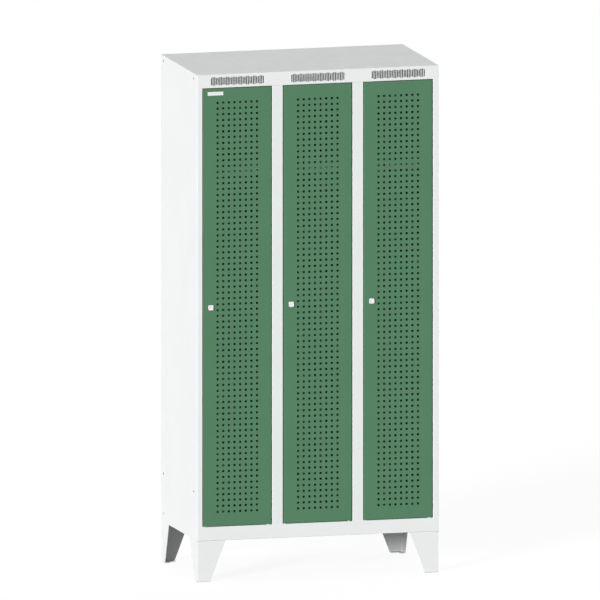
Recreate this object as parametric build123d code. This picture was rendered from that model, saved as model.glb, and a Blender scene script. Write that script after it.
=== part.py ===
from build123d import *
from math import hypot
import os

# A clothes locker of three compartments side by side, on four bent sheet legs.
# Each compartment has a perforated door hinged on its right and a cam lock on its left.
# Lengths are in millimetres. X runs to the right as seen from the front, Y to the back, Z up.
# The origin is on the floor, below the centre of the outer box.

# Whole body
module_width = 300.0
module_count = 3
body_depth = 500.0
body_height = 1700.0
leg_height = 150.0
sheet = 1.0
overrun = 2.0
seat_gap = 0.3
slip_fit = 0.15

# Front frame: a stile at each side of a door, a fascia above and a rail below
edge_stile = 20.0
stile_recess = 1.2
fascia_height = 50.0
rail_height = 50.0
stop_lip = 10.0

# Folds of the body panels
foot_flange = 30.0
fold_gap = 0.5
weld_fold = 15.0
roof_fold = 15.0
floor_fold = 15.0

# Door pans, and the pins that they turn on
end_gap = 2.0
door_recess = 1.0
door_depth = 18.0
door_fold = 12.0
hinge_edge = 10.0
hinge_set = 7.0
side_clearance = 0.8
swing_clearance = 1.1
pin_radius = 2.95
pin_fit = 0.05
pin_reach = 12.0
pin_head_radius = 5.0
pin_head = 2.0
bush_radius = 5.0
bush_length = 9.0
bush_flange_radius = 6.5

# Door perforation
hole_side = 8.0
hole_pitch = 21.0
hole_side_margin = 48.0
hole_end_margin = 50.0

# Stiffener inside each door
stiffener_crown = 14.0
stiffener_foot = 7.0
stiffener_depth = 12.0
stiffener_end = 40.0

# Blank name plate on the first door
badge_width = 58.0
badge_height = 13.5
badge_thickness = 0.6
badge_from_edge = 45.5
badge_from_top = 18.5

# Vent slots in the fascia, in fours: short, long, long, short
vent_width = 200.0
slot_pitch = 6.25
slot_width = 4.0
slot_long = 31.0
slot_short = 26.0
vent_drop = 0.6

# Cam lock
lock_from_edge = 28.0
rosette_width = 19.0
rosette_height = 19.5
rosette_corner = 4.5
rosette_depth = 5.0
rosette_round = 1.2
barrel_radius = 8.0
plug_radius = 6.0
plug_fit = 0.05
plug_sink = 0.6
key_slot_width = 1.8
key_slot_height = 7.0
key_slot_depth = 9.0
lock_nut_flats = 22.0
lock_nut_height = 4.0
cam_clearance = 0.8
cam_thickness = 2.5
cam_width = 14.0
cam_reach = 28.0
tail_side = 7.0
tail_fit = 0.05
cam_screw_radius = 2.5
cam_screw_length = 8.0
cam_head_radius = 5.0
cam_head_height = 3.0

# Hat shelf and clothes rail
shelf_drop = 308.0
shelf_setback = 45.0
shelf_fold = 18.0
shelf_hem = 8.0
rail_drop = 40.0
tube_radius = 8.0
tube_wall = 1.2
tube_end_gap = 0.5
socket_plate = 2.0
socket_plate_radius = 15.0
socket_ring_radius = 11.0
socket_ring_length = 10.0

# Sliding double coat hooks
hook_offset = 45.0
hook_width = 12.0
hook_ring_radius = 11.5
hook_neck = 5.0
hook_drop = 34.0
hook_outer_radius = 20.0
hook_inner_radius = 15.5

# Legs and their bolts
leg_sheet = 2.0
leg_inset = 1.0
leg_top = 106.0
leg_foot = 49.0
flank_top = 100.0
flank_foot = 43.0
foot_fold = 20.0
bolt_out = 75.0
bolt_in = 17.0
bolt_radius = 4.0
bolt_clearance = 0.5
bolt_length = 14.0
bolt_head_flats = 13.0
bolt_head_height = 5.3
bolt_nut_height = 6.5

# Soft pads: on the stop lips, and on the sill under each door
pad_width = 8.0
pad_height = 14.0
pad_from_end = 150.0
sill_pad_width = 11.0
sill_pad_depth = 10.0

# Holes in the side panels for bolting lockers together in a row
joining_radius = 5.0
joining_front = 50.0
joining_back = 30.0
joining_drop = 20.0
joining_rise = 175.0
lower_hole_rise = 31.0

# Levels and planes that follow from these sizes
body_width = module_width * module_count
right = body_width / 2
left = -right
front = (rosette_depth - door_recess - body_depth) / 2
rear = front + body_depth
middle_y = (front + rear) / 2
body_top = leg_height + body_height
sill = leg_height + rail_height
lintel = body_top - fascia_height
door_side_gap = hypot(hinge_edge, hinge_set) - hinge_edge + side_clearance
door_width = module_width - 2 * (edge_stile + door_side_gap)
door_bottom = sill + end_gap
door_top = lintel - end_gap
door_middle = (door_bottom + door_top) / 2
door_face = front + door_recess
door_back = door_face + door_depth
back_of_pin = door_depth - hinge_set
corner_swing = hypot(hinge_edge, back_of_pin) - back_of_pin
lip_front = door_back + corner_swing + swing_clearance
lip_back = lip_front + sheet
back_inner = rear - sheet
roof_under = body_top - sheet
shelf_top = lintel - shelf_drop
shelf_front = front + shelf_setback
tube_y = (shelf_front + back_inner) / 2
tube_z = shelf_top - shelf_fold - rail_drop
module_x = [left + n * module_width for n in range(module_count + 1)]
lock_edge_x = left + edge_stile + door_side_gap
hinge_edge_x = lock_edge_x + door_width
door_middle_x = (lock_edge_x + hinge_edge_x) / 2
hinge_x = hinge_edge_x - hinge_edge
hinge_y = door_face + hinge_set
lock_x = lock_edge_x + lock_from_edge
cam_front = lip_back + cam_clearance
cam_back = cam_front + cam_thickness


def block(x, y, z):
    """A box between two limits on each axis."""
    spans = [sorted(limits) for limits in (x, y, z)]
    centre = [(low + high) / 2 for low, high in spans]
    return Pos(*centre) * Box(*[high - low for low, high in spans])


def post(x, y, z, radius):
    """An upright round bar between two heights."""
    return Pos(x, y, sum(z) / 2) * Cylinder(radius, max(z) - min(z))


def stub(x, y, z, radius):
    """A round bar along Y between two depths."""
    return Pos(x, sum(y) / 2, z) * Rot(90, 0, 0) * Cylinder(radius, max(y) - min(y))


def bar(x, y, z, radius):
    """A round bar along X between two places."""
    return Pos(sum(x) / 2, y, z) * Rot(0, 90, 0) * Cylinder(radius, max(x) - min(x))


def joined(shapes):
    """One solid made of shapes that touch."""
    whole = shapes[0]
    for shape in shapes[1:]:
        whole += shape
    return whole


def hexagon(flats):
    """A regular hexagon by its width across flats."""
    return RegularPolygon(flats / 2, 6, major_radius=False)


def window(x, z, width, height):
    """The closed outline of a rectangular hole in the front plane's own height and width."""
    low_x, high_x = x - width / 2, x + width / 2
    low_z, high_z = z - height / 2, z + height / 2
    corners = [(low_x, 0, low_z), (high_x, 0, low_z), (high_x, 0, high_z), (low_x, 0, high_z)]
    return Wire.make_polygon(corners)


def upright_sheet(x, y, z, holes):
    """A sheet across the front from depth y, pierced by the given hole outlines."""
    outline = window(sum(x) / 2, sum(z) / 2, x[1] - x[0], z[1] - z[0])
    return Pos(0, y, 0) * extrude(Face(outline, holes), amount=sheet, dir=(0, 1, 0))


def leg_bolt_places():
    """Where the eight leg bolts stand: one on each fold of each leg."""
    near = [(left + bolt_out, front + bolt_in), (left + bolt_in, front + bolt_out)]
    places = [(side * x, y) for side in (1, -1) for x, y in near]
    return places + [(x, 2 * middle_y - y) for x, y in places]


def drilled_for_legs(panel):
    """The panel with a clearance hole at each leg bolt that passes through it."""
    for x, y in leg_bolt_places():
        panel -= post(x, y, (0, sill), bolt_radius + bolt_clearance)
    return panel


def compartment(n):
    """The inner faces of the walls to the left and right of compartment n."""
    low = module_x[n] + (sheet if n == 0 else sheet / 2)
    high = module_x[n + 1] - (sheet if n == module_count - 1 else sheet / 2)
    return low, high


def side_panel():
    """The left side: a flat sheet with five joining holes."""
    panel = block((left, left + sheet), (front, rear), (leg_height, roof_under))
    near, far = front + joining_front, rear - joining_back
    high, low = body_top - joining_drop, leg_height + joining_rise
    places = [(near, high), (far, high), (near, low), (far, low), (far, leg_height + lower_hole_rise)]
    for y, z in places:
        panel -= bar((left - overrun, left + sheet + overrun), y, z, joining_radius)
    return panel


def side_stile():
    """The left stile: folded back along the side sheet and behind the door, with a stop lip."""
    rise = (leg_height, roof_under)
    weld_x, edge = left + sheet, left + edge_stile
    return joined([
        block((weld_x, edge), (front, front + sheet), rise),
        block((weld_x, weld_x + sheet), (front, front + weld_fold), rise),
        block((edge - sheet, edge), (front, lip_back), rise),
        block((edge - sheet, edge + stop_lip), (lip_front, lip_back), (sill, lintel)),
    ])


def back_panel():
    """The flat back sheet between the sides."""
    return block((left + sheet, right - sheet), (back_inner, rear), (leg_height, roof_under))


def roof_panel():
    """The flat roof sheet on top of the sides."""
    return block((left, right), (front, rear), (roof_under, body_top))


def floor_panel():
    """The floor: a sheet folded down on four sides, then in along the feet for the leg bolts."""
    inner = (left + sheet, right - sheet)
    depth = (lip_back, back_inner)
    base = (leg_height, leg_height + sheet)
    skirt = (leg_height, sill)
    beside = (front + foot_flange + fold_gap, back_inner)
    tray = joined([
        block(inner, depth, (sill - sheet, sill)),
        block(inner, (lip_back, lip_back + sheet), (sill - floor_fold, sill)),
        block(inner, (back_inner - sheet, back_inner), skirt),
        block((inner[0], inner[0] + sheet), depth, skirt),
        block((inner[1] - sheet, inner[1]), depth, skirt),
        block(inner, (back_inner - foot_flange, back_inner), base),
        block((inner[0], inner[0] + foot_flange), beside, base),
        block((inner[1] - foot_flange, inner[1]), beside, base),
    ])
    tray -= bar((left, right), rear - joining_back, leg_height + lower_hole_rise, joining_radius)
    return drilled_for_legs(tray)


def vent_slots():
    """Outlines of every vent slot, a field of slots above each door."""
    count = int(vent_width / slot_pitch)
    level = (lintel + body_top) / 2 - vent_drop
    slots = []
    for x in module_x[:-1]:
        start = x + module_width / 2 - slot_pitch * (count - 1) / 2
        for i in range(count):
            height = slot_long if i % 4 in (1, 2) else slot_short
            slots.append(window(start + i * slot_pitch, level, slot_width, height))
    return slots


def stop_lips(rise):
    """The fold behind the end of each door, between the stop lips of the stiles."""
    inset = edge_stile + stop_lip + fold_gap
    return [block((x + inset, x + module_width - inset), (lip_front, lip_back), rise) for x in module_x[:-1]]


def drilled_for_pins(band, level):
    """The band with a hole for each hinge pin through the sheet at that level."""
    for n in range(module_count):
        band -= post(hinge_x + n * module_width, hinge_y, (level - overrun, level + overrun),
                     pin_radius + slip_fit)
    return band


def front_fascia():
    """The band above the doors: vents, a fold under the roof, and stop lips behind the doors."""
    inner = (left + edge_stile, right - edge_stile)
    band = upright_sheet(inner, front, (lintel, roof_under), vent_slots())
    folds = [
        block(inner, (front, lip_back), (lintel, lintel + sheet)),
        block(inner, (front, front + roof_fold), (roof_under - sheet, roof_under)),
    ]
    return drilled_for_pins(joined([band] + folds + stop_lips((lintel - stop_lip, lintel + sheet))), lintel)


def bottom_rail():
    """The band below the doors: a fold over the legs, and one with stop lips behind the doors."""
    inner = (left + edge_stile, right - edge_stile)
    rail = joined([
        block(inner, (front, front + sheet), (leg_height, sill)),
        block(inner, (front, lip_back), (sill - sheet, sill)),
        block(inner, (front, front + foot_flange), (leg_height, leg_height + sheet)),
    ] + stop_lips((sill - sheet, sill + stop_lip)))
    return drilled_for_legs(drilled_for_pins(rail, sill))


def mid_stile(x):
    """A hat channel between two doors, with a stop lip for each."""
    face = front + stile_recess
    rise = (sill, lintel)
    folds = [block((x - edge_stile, x + edge_stile), (face, face + sheet), rise)]
    for side in (-1, 1):
        edge = x + side * edge_stile
        folds.append(block((edge, edge - side * sheet), (face, lip_back), rise))
        folds.append(block((edge - side * sheet, edge + side * stop_lip), (lip_front, lip_back), rise))
    return joined(folds)


def partition(x):
    """A wall between two compartments, from the inside of the mid stile to the back."""
    wall = (x - sheet / 2, x + sheet / 2)
    start = front + stile_recess + sheet
    return joined([
        block(wall, (start, back_inner), (sill, lintel)),
        block(wall, (lip_back, back_inner), (sill, roof_under)),
    ])


def hat_shelf(n):
    """A shelf folded down on four sides, with a hem along the front."""
    low, high = compartment(n)
    fold = (shelf_top - shelf_fold, shelf_top)
    hem_top = shelf_top - shelf_fold + sheet
    return joined([
        block((low, high), (shelf_front, back_inner), (shelf_top - sheet, shelf_top)),
        block((low, high), (shelf_front, shelf_front + sheet), fold),
        block((low, high), (back_inner - sheet, back_inner), fold),
        block((low, low + sheet), (shelf_front, back_inner), fold),
        block((high - sheet, high), (shelf_front, back_inner), fold),
        block((low, high), (shelf_front, shelf_front + shelf_hem), (fold[0], hem_top)),
    ])


def clothes_rail(n):
    """A round tube from wall to wall under the shelf."""
    low, high = compartment(n)
    reach = socket_plate + tube_end_gap
    ends = (low + reach, high - reach)
    bore_ends = (ends[0] - overrun, ends[1] + overrun)
    return bar(ends, tube_y, tube_z, tube_radius) - bar(bore_ends, tube_y, tube_z, tube_radius - tube_wall)


def rail_socket(wall, side):
    """A cup on a wall, open at the top so that the tube drops in. Side is 1 on a left wall."""
    plate_end = wall + side * socket_plate
    ring_end = plate_end + side * socket_ring_length
    seat_radius = tube_radius + slip_fit
    cup = bar((plate_end, ring_end), tube_y, tube_z, socket_ring_radius)
    cup -= bar((plate_end, ring_end + side * overrun), tube_y, tube_z, seat_radius)
    cup -= block((plate_end, ring_end + side * overrun), (tube_y - seat_radius, tube_y + seat_radius),
                 (tube_z, tube_z + socket_ring_radius + overrun))
    return bar((wall, plate_end), tube_y, tube_z, socket_plate_radius) + cup


def coat_hook(x):
    """A ring round the rail that carries a double hook."""
    lowest = hook_drop + hook_inner_radius + (hook_outer_radius - hook_inner_radius) / 2
    tip_radius = (hook_outer_radius - hook_inner_radius) / 2
    tip_place = hook_inner_radius + tip_radius
    anchor = Circle(hook_outer_radius) - Circle(hook_inner_radius)
    anchor &= Pos(0, -hook_outer_radius) * Rectangle(3 * hook_outer_radius, 2 * hook_outer_radius)
    anchor += Pos(tip_place, 0) * Circle(tip_radius) + Pos(-tip_place, 0) * Circle(tip_radius)
    profile = Circle(hook_ring_radius) + Pos(0, -lowest / 2) * Rectangle(hook_neck, lowest)
    profile += Pos(0, -hook_drop) * anchor
    profile -= Circle(tube_radius + seat_gap)
    hook = extrude(Plane.YZ * profile, amount=hook_width / 2, both=True)
    return Pos(x, tube_y, tube_z) * hook


def flat_plate(points, thickness, direction):
    """A flat plate of a straight-sided outline, thickened along a direction."""
    return extrude(Face(Wire.make_polygon(points)), amount=thickness, dir=direction)


def front_left_leg():
    """A bent corner leg: two tapered faces, a top fold to bolt to and a foot fold to stand on."""
    x, y = left + leg_inset, front + leg_inset
    wide, narrow = left + leg_top, left + leg_foot
    wide_y, narrow_y = front + flank_top, front + flank_foot
    top, under = leg_height, leg_height - leg_sheet
    face = [(x, y, 0), (narrow, y, 0), (wide, y, top), (x, y, top)]
    flank = [(x, y, 0), (x, narrow_y, 0), (x, wide_y, top), (x, y, top)]
    leg = flat_plate(face, leg_sheet, (0, 1, 0)) + flat_plate(flank, leg_sheet, (1, 0, 0))
    taper = (leg_top - leg_foot) / leg_height * leg_sheet
    flank_taper = (flank_top - flank_foot) / leg_height * leg_sheet
    inner_x, inner_y = left + foot_flange, front + foot_flange
    leg += block((x, wide - taper), (y, inner_y), (under, top))
    leg += block((x, inner_x), (y, wide_y - flank_taper), (under, top))
    leg += block((x, narrow), (y, y + foot_fold), (0, leg_sheet))
    leg += block((x, x + foot_fold), (y, narrow_y), (0, leg_sheet))
    return drilled_for_legs(leg)


def leg_bolt(x, y):
    """A hexagon bolt put in from below."""
    under = leg_height - leg_sheet
    head = Pos(x, y, under - bolt_head_height) * extrude(hexagon(bolt_head_flats), amount=bolt_head_height)
    return head + post(x, y, (under, under + bolt_length), bolt_radius)


def leg_nut(x, y):
    """The nut on a leg bolt, on top of the body's fold."""
    seat = leg_height + sheet
    ring = hexagon(bolt_head_flats) - Circle(bolt_radius + slip_fit)
    return Pos(x, y, seat) * extrude(ring, amount=bolt_nut_height)


def hinge_pin(x, seat, side):
    """A headed pin fixed in a fold at height seat. Side is 1 where it points up."""
    head_start = seat - side * sheet
    head = post(x, hinge_y, (head_start - side * pin_head, head_start), pin_head_radius)
    tip = seat + side * (end_gap + pin_reach)
    return head + post(x, hinge_y, (head_start, tip), pin_radius)


def hinge_bush(x, edge, side):
    """A flanged bush in the door's end fold. Side is 1 at the bottom of the door."""
    flange = post(x, hinge_y, (edge - side * (end_gap - seat_gap), edge), bush_flange_radius)
    sleeve = post(x, hinge_y, (edge, edge + side * (sheet + bush_length)), bush_radius)
    drill = post(x, hinge_y, (edge - side * (end_gap + overrun),
                 edge + side * (sheet + bush_length + overrun)), pin_radius + pin_fit)
    return flange + sleeve - drill


def stop_pad(x, z):
    """A soft pad on the stop lip at the lock side of a door."""
    start = x + edge_stile + (stop_lip - pad_width) / 2
    return block((start, start + pad_width), (door_back + seat_gap, lip_front),
                 (z - pad_height / 2, z + pad_height / 2))


def sill_pad(x):
    """A thin pad on the rail that carries the free corner of a closed door."""
    start = x + edge_stile + side_clearance
    return block((start, start + sill_pad_width), (door_face, door_face + sill_pad_depth),
                 (sill, door_bottom - seat_gap))


def perforation():
    """Outlines of the square holes of one door, centred on it."""
    columns = int((door_width - 2 * hole_side_margin) / hole_pitch) + 1
    rows = int((door_top - door_bottom - 2 * hole_end_margin) / hole_pitch) + 1
    first_x = door_middle_x - hole_pitch * (columns - 1) / 2
    first_z = door_middle - hole_pitch * (rows - 1) / 2
    return [window(first_x + i * hole_pitch, first_z + j * hole_pitch, hole_side, hole_side)
            for i in range(columns) for j in range(rows)]


def door_leaf():
    """The first door: a perforated sheet folded back on four sides, then in along both edges."""
    x, z = (lock_edge_x, hinge_edge_x), (door_bottom, door_top)
    deep = (door_face, door_back)
    lips = (door_back - sheet, door_back)
    lock_plane = Plane(origin=(lock_x, 0, door_middle), x_dir=(1, 0, 0), z_dir=(0, -1, 0))
    lock_hole = Wire.make_circle(barrel_radius + slip_fit, lock_plane)
    folds = joined([
        block((x[0], x[0] + sheet), deep, z),
        block((x[1] - sheet, x[1]), deep, z),
        block(x, deep, (z[0], z[0] + sheet)),
        block(x, deep, (z[1] - sheet, z[1])),
        block((x[0], x[0] + door_fold), lips, z),
        block((x[1] - door_fold, x[1]), lips, z),
    ])
    for z_end in z:
        folds -= post(hinge_x, hinge_y, (z_end - sheet - overrun, z_end + sheet + overrun),
                      bush_radius + slip_fit)
    return upright_sheet(x, door_face, z, perforation() + [lock_hole]) + folds


def door_stiffener():
    """A hat channel behind the plain margin at the hinge side of the first door."""
    width = stiffener_crown + 2 * stiffener_foot
    start = hinge_x - bush_flange_radius - seat_gap - width
    seat = door_face + sheet
    crown = (start + stiffener_foot, start + stiffener_foot + stiffener_crown)
    rise = (door_bottom + stiffener_end, door_top - stiffener_end)
    deep = (seat, seat + stiffener_depth)
    return joined([
        block((start, crown[0] + sheet), (seat, seat + sheet), rise),
        block((crown[0], crown[0] + sheet), deep, rise),
        block(crown, (deep[1] - sheet, deep[1]), rise),
        block((crown[1] - sheet, crown[1]), deep, rise),
        block((crown[1] - sheet, start + width), (seat, seat + sheet), rise),
    ])


def lock_housing():
    """The lock's rosette and barrel, bored for the plug."""
    rosette = extrude(RectangleRounded(rosette_width, rosette_height, rosette_corner), amount=rosette_depth)
    rosette = fillet(rosette.faces().sort_by(Axis.Z)[-1].edges(), rosette_round)
    rosette = Pos(lock_x, door_face, door_middle) * Rot(90, 0, 0) * rosette
    barrel = stub(lock_x, (door_face, cam_front - seat_gap), door_middle, barrel_radius)
    bore = stub(lock_x, (door_face - rosette_depth - overrun, cam_front + overrun), door_middle,
                plug_radius + plug_fit)
    return rosette + barrel - bore


def lock_nut():
    """The nut that holds the lock against the back of the door sheet."""
    ring = hexagon(lock_nut_flats) - Circle(barrel_radius + slip_fit)
    return Pos(lock_x, door_face + sheet, door_middle) * Rot(-90, 0, 0) * extrude(ring, amount=lock_nut_height)


def lock_plug():
    """The turning plug: key slot in front, square tail behind for the cam."""
    face = door_face - rosette_depth + plug_sink
    plug = stub(lock_x, (face, cam_front), door_middle, plug_radius)
    half = tail_side / 2
    plug += block((lock_x - half, lock_x + half), (cam_front, cam_back), (door_middle - half, door_middle + half))
    plug -= block((lock_x - key_slot_width / 2, lock_x + key_slot_width / 2),
                  (face - overrun, face + key_slot_depth),
                  (door_middle - key_slot_height / 2, door_middle + key_slot_height / 2))
    plug -= stub(lock_x, (cam_back - cam_screw_length, cam_back + overrun), door_middle,
                 cam_screw_radius + slip_fit)
    return plug


def lock_cam():
    """The cam at rest: unlocked, it hangs straight down."""
    tip = cam_reach - cam_width / 2
    hole = tail_side + 2 * tail_fit
    profile = Circle(cam_width / 2) + Pos(0, -tip) * Circle(cam_width / 2)
    profile += Pos(0, -tip / 2) * Rectangle(cam_width, tip)
    profile -= Rectangle(hole, hole)
    return Pos(lock_x, cam_back, door_middle) * Rot(90, 0, 0) * extrude(profile, amount=cam_thickness)


def cam_screw():
    """The screw that holds the cam on the plug's tail."""
    head = stub(lock_x, (cam_back, cam_back + cam_head_height), door_middle, cam_head_radius)
    shank_start = cam_back - cam_screw_length + slip_fit
    return head + stub(lock_x, (shank_start, cam_back), door_middle, cam_screw_radius)


def name_plate():
    """The blank plate near the top of the first door."""
    x, z = lock_edge_x + badge_from_edge, door_top - badge_from_top
    return block((x - badge_width / 2, x + badge_width / 2), (door_face - badge_thickness, door_face),
                 (z - badge_height / 2, z + badge_height / 2))


def body_nodes():
    """Every piece of the standing body by its node name."""
    nodes = {
        "side_panel_left": side_panel(),
        "side_panel_right": mirror(side_panel(), about=Plane.YZ),
        "side_stile_left": side_stile(),
        "side_stile_right": mirror(side_stile(), about=Plane.YZ),
        "back_panel": back_panel(),
        "roof_panel": roof_panel(),
        "floor_panel": floor_panel(),
        "front_fascia": front_fascia(),
        "bottom_rail": bottom_rail(),
    }
    for n, x in enumerate(module_x[1:-1], start=1):
        nodes[f"mid_stile_{n}"] = mid_stile(x)
        nodes[f"partition_{n}"] = partition(x)
    for n in range(module_count):
        nodes[f"hat_shelf_{n + 1}"] = hat_shelf(n)
        nodes[f"clothes_rail_{n + 1}"] = clothes_rail(n)
    return nodes


def leg_nodes():
    """The four legs, each the mirror image of the front left one."""
    leg = front_left_leg()
    halves = {"front": leg, "back": mirror(leg, about=Plane(origin=(0, middle_y, 0), z_dir=(0, 1, 0)))}
    nodes = {}
    for place, shape in halves.items():
        nodes[f"leg_{place}_left"] = shape
        nodes[f"leg_{place}_right"] = mirror(shape, about=Plane.YZ)
    return nodes


def group_nodes():
    """Small identical pieces of the body, each kind a group of separate solids."""
    shifts = [n * module_width for n in range(module_count)]
    pad_levels = (door_bottom + pad_from_end, door_top - pad_from_end)
    groups = {
        "leg_bolts": [leg_bolt(x, y) for x, y in leg_bolt_places()],
        "leg_nuts": [leg_nut(x, y) for x, y in leg_bolt_places()],
        "hinge_pins": [hinge_pin(hinge_x + dx, seat, side) for dx in shifts
                       for seat, side in ((sill, 1), (lintel, -1))],
        "stop_pads": [stop_pad(x, z) for x in module_x[:-1] for z in pad_levels],
        "sill_pads": [sill_pad(x) for x in module_x[:-1]],
        "rail_sockets": [rail_socket(wall, side) for n in range(module_count)
                         for wall, side in zip(compartment(n), (1, -1))],
    }
    return {name: Compound(children=solids) for name, solids in groups.items()}


def door_nodes():
    """The pieces of the doors and locks: each is made for the first door and shifted."""
    bushes = [hinge_bush(hinge_x, door_bottom, 1), hinge_bush(hinge_x, door_top, -1)]
    pieces = {
        "door_leaf": door_leaf(),
        "door_stiffener": door_stiffener(),
        "lock_housing": lock_housing(),
        "lock_nut": lock_nut(),
        "lock_plug": lock_plug(),
        "lock_cam": lock_cam(),
        "cam_screw": cam_screw(),
    }
    nodes = {"name_plate": name_plate()}
    for n in range(module_count):
        shift = Pos(n * module_width, 0, 0)
        for name, shape in pieces.items():
            nodes[f"{name}_{n + 1}"] = shift * shape
        nodes[f"hinge_bushes_{n + 1}"] = Compound(children=[shift * bush for bush in bushes])
    return nodes


def hook_nodes():
    """Two sliding coat hooks on each clothes rail."""
    nodes = {}
    for n in range(module_count):
        centre = sum(compartment(n)) / 2
        nodes[f"coat_hook_{n + 1}_left"] = coat_hook(centre - hook_offset)
        nodes[f"coat_hook_{n + 1}_right"] = coat_hook(centre + hook_offset)
    return nodes


def main():
    os.makedirs("parts", exist_ok=True)
    for nodes in (body_nodes(), leg_nodes(), group_nodes(), door_nodes(), hook_nodes()):
        for name, shape in nodes.items():
            export_step(shape, f"parts/{name}.step")


main()
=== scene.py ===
"""The looks of a clothes locker with three compartments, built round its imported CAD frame.

Sizes are in millimetres, in the frame's own axes: X to the right as seen from the front, Y to the
back and Z up, from the floor below the middle of the locker. Meshes and nodes get them in metres.
"""

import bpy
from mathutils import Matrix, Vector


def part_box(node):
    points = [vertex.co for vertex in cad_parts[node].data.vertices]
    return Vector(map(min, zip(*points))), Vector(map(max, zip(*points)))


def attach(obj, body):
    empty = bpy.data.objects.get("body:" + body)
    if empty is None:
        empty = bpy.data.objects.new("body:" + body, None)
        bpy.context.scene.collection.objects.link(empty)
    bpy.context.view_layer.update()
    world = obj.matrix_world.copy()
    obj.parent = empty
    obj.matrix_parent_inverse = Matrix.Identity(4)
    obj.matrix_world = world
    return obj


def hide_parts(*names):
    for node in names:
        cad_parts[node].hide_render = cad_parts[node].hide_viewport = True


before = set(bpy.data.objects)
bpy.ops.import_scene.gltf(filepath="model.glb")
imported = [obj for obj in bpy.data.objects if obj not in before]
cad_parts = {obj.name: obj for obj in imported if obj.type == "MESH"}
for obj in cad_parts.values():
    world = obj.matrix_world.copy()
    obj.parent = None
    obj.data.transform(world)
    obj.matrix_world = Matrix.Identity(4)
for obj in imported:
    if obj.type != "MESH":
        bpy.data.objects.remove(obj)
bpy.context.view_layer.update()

import logging
import math
from contextlib import contextmanager
from dataclasses import dataclass, field, replace
from enum import Enum
from typing import Iterable, Iterator, Optional, Sequence, Union

import bmesh
import bpy
from mathutils import Vector

MM = 0.001
# Angles are in degrees. The two gaps are in metres, like the meshes that they are used on.
SHARP_ANGLE = 35.0
ROUNDED_SHARP_ANGLE = 50.0
FLAT_ANGLE = 1.0
AREA_WEIGHT = 100
LOOSE_GAP = 2e-6
SEAM_GAP = 1e-6
NOISE_BAND = (0.3, 0.7)
Point2 = tuple[float, float]
Point3 = tuple[float, float, float]
Span = tuple[float, float]
Pair = tuple[Point2, Point2]
Pair3 = tuple[Point3, Point3]
Colour = tuple[float, float, float, float]
Piece = bpy.types.Object
Mesh = bpy.types.Mesh
Tree = bpy.types.NodeTree
Node = bpy.types.Node
Output = bpy.types.NodeSocket
Feed = Union[float, int, tuple, list, Output]
log = logging.getLogger("locker")


class Axis(Enum):
    """The axis along which a flat section is drawn out."""

    X = "x"
    Z = "z"

    def place(self, along: float, point: Point2) -> Point3:
        """Puts a section's point at a distance along the axis.

        Args:
            along: the distance along this axis.
            point: the section's own two coordinates, in the order of the other two axes.

        Returns:
            The point in space.
        """
        first, second = point
        return (along, first, second) if self is Axis.X else (first, second, along)


class Side(Enum):
    """The left or the right of the locker, with the sign of X there."""

    LEFT = -1
    RIGHT = 1

    @property
    def word(self) -> str:
        """The side's word in node names."""
        return self.name.lower()


@dataclass(frozen=True)
class Layout:
    """The planes, levels and sheets that the pieces share."""

    module: float = 300.0
    count: int = 3
    depth: float = 500.0
    height: float = 1850.0
    foot: float = 150.0
    sheet: float = 1.0
    leg_sheet: float = 2.0
    leg_inset: float = 1.0
    stile: float = 20.0
    band: float = 50.0
    lip: float = 10.0
    recess: float = 1.0
    stile_recess: float = 1.2
    pan_depth: float = 18.0
    door_gap: float = 3.0066
    end_gap: float = 2.0
    front: float = -248.0
    lip_front: float = -224.034
    seam_lap: float = 0.02
    hinge_inset: float = 10.0
    lock_inset: float = 28.0

    @property
    def half(self) -> float:
        """Half the locker's width."""
        return self.module * self.count / 2

    @property
    def rear(self) -> float:
        """The outer face of the back."""
        return self.front + self.depth

    @property
    def sill(self) -> float:
        """The top of the rail below the doors."""
        return self.foot + self.band

    @property
    def lintel(self) -> float:
        """The lower edge of the band above the doors."""
        return self.height - self.band

    @property
    def lip_back(self) -> float:
        """The back of the stop lips behind the doors."""
        return self.lip_front + self.sheet

    @property
    def door_face(self) -> float:
        """The front face of the doors."""
        return self.front + self.recess

    @property
    def door_back(self) -> float:
        """The back of the doors' folds."""
        return self.door_face + self.pan_depth

    @property
    def door_rise(self) -> Span:
        """The lower and upper ends of the doors."""
        return self.sill + self.end_gap, self.lintel - self.end_gap

    @property
    def middle(self) -> float:
        """The level of the locks, half-way up the doors."""
        return sum(self.door_rise) / 2

    @property
    def numbers(self) -> range:
        """The numbers of the doors, from 1 at the left."""
        return range(1, self.count + 1)

    def walls(self) -> list[float]:
        """The planes between the modules, with both ends."""
        return [-self.half + n * self.module for n in range(self.count + 1)]

    def door_span(self, number: int) -> Span:
        """Finds a door's edges.

        Args:
            number: the door's number.

        Returns:
            The X of its lock edge and of its hinge edge.
        """
        start = self.walls()[number - 1]
        inset = self.stile + self.door_gap
        return start + inset, start + self.module - inset


LAYOUT = Layout()


# Meshes


def in_metres(place: Iterable[float]) -> tuple[float, ...]:
    """Gives a place in metres."""
    return tuple(value * MM for value in place)


def turned(point: Point2, angle: float) -> Point2:
    """Turns a flat vector by an angle in radians."""
    return (point[0] * math.cos(angle) - point[1] * math.sin(angle),
            point[0] * math.sin(angle) + point[1] * math.cos(angle))


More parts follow.
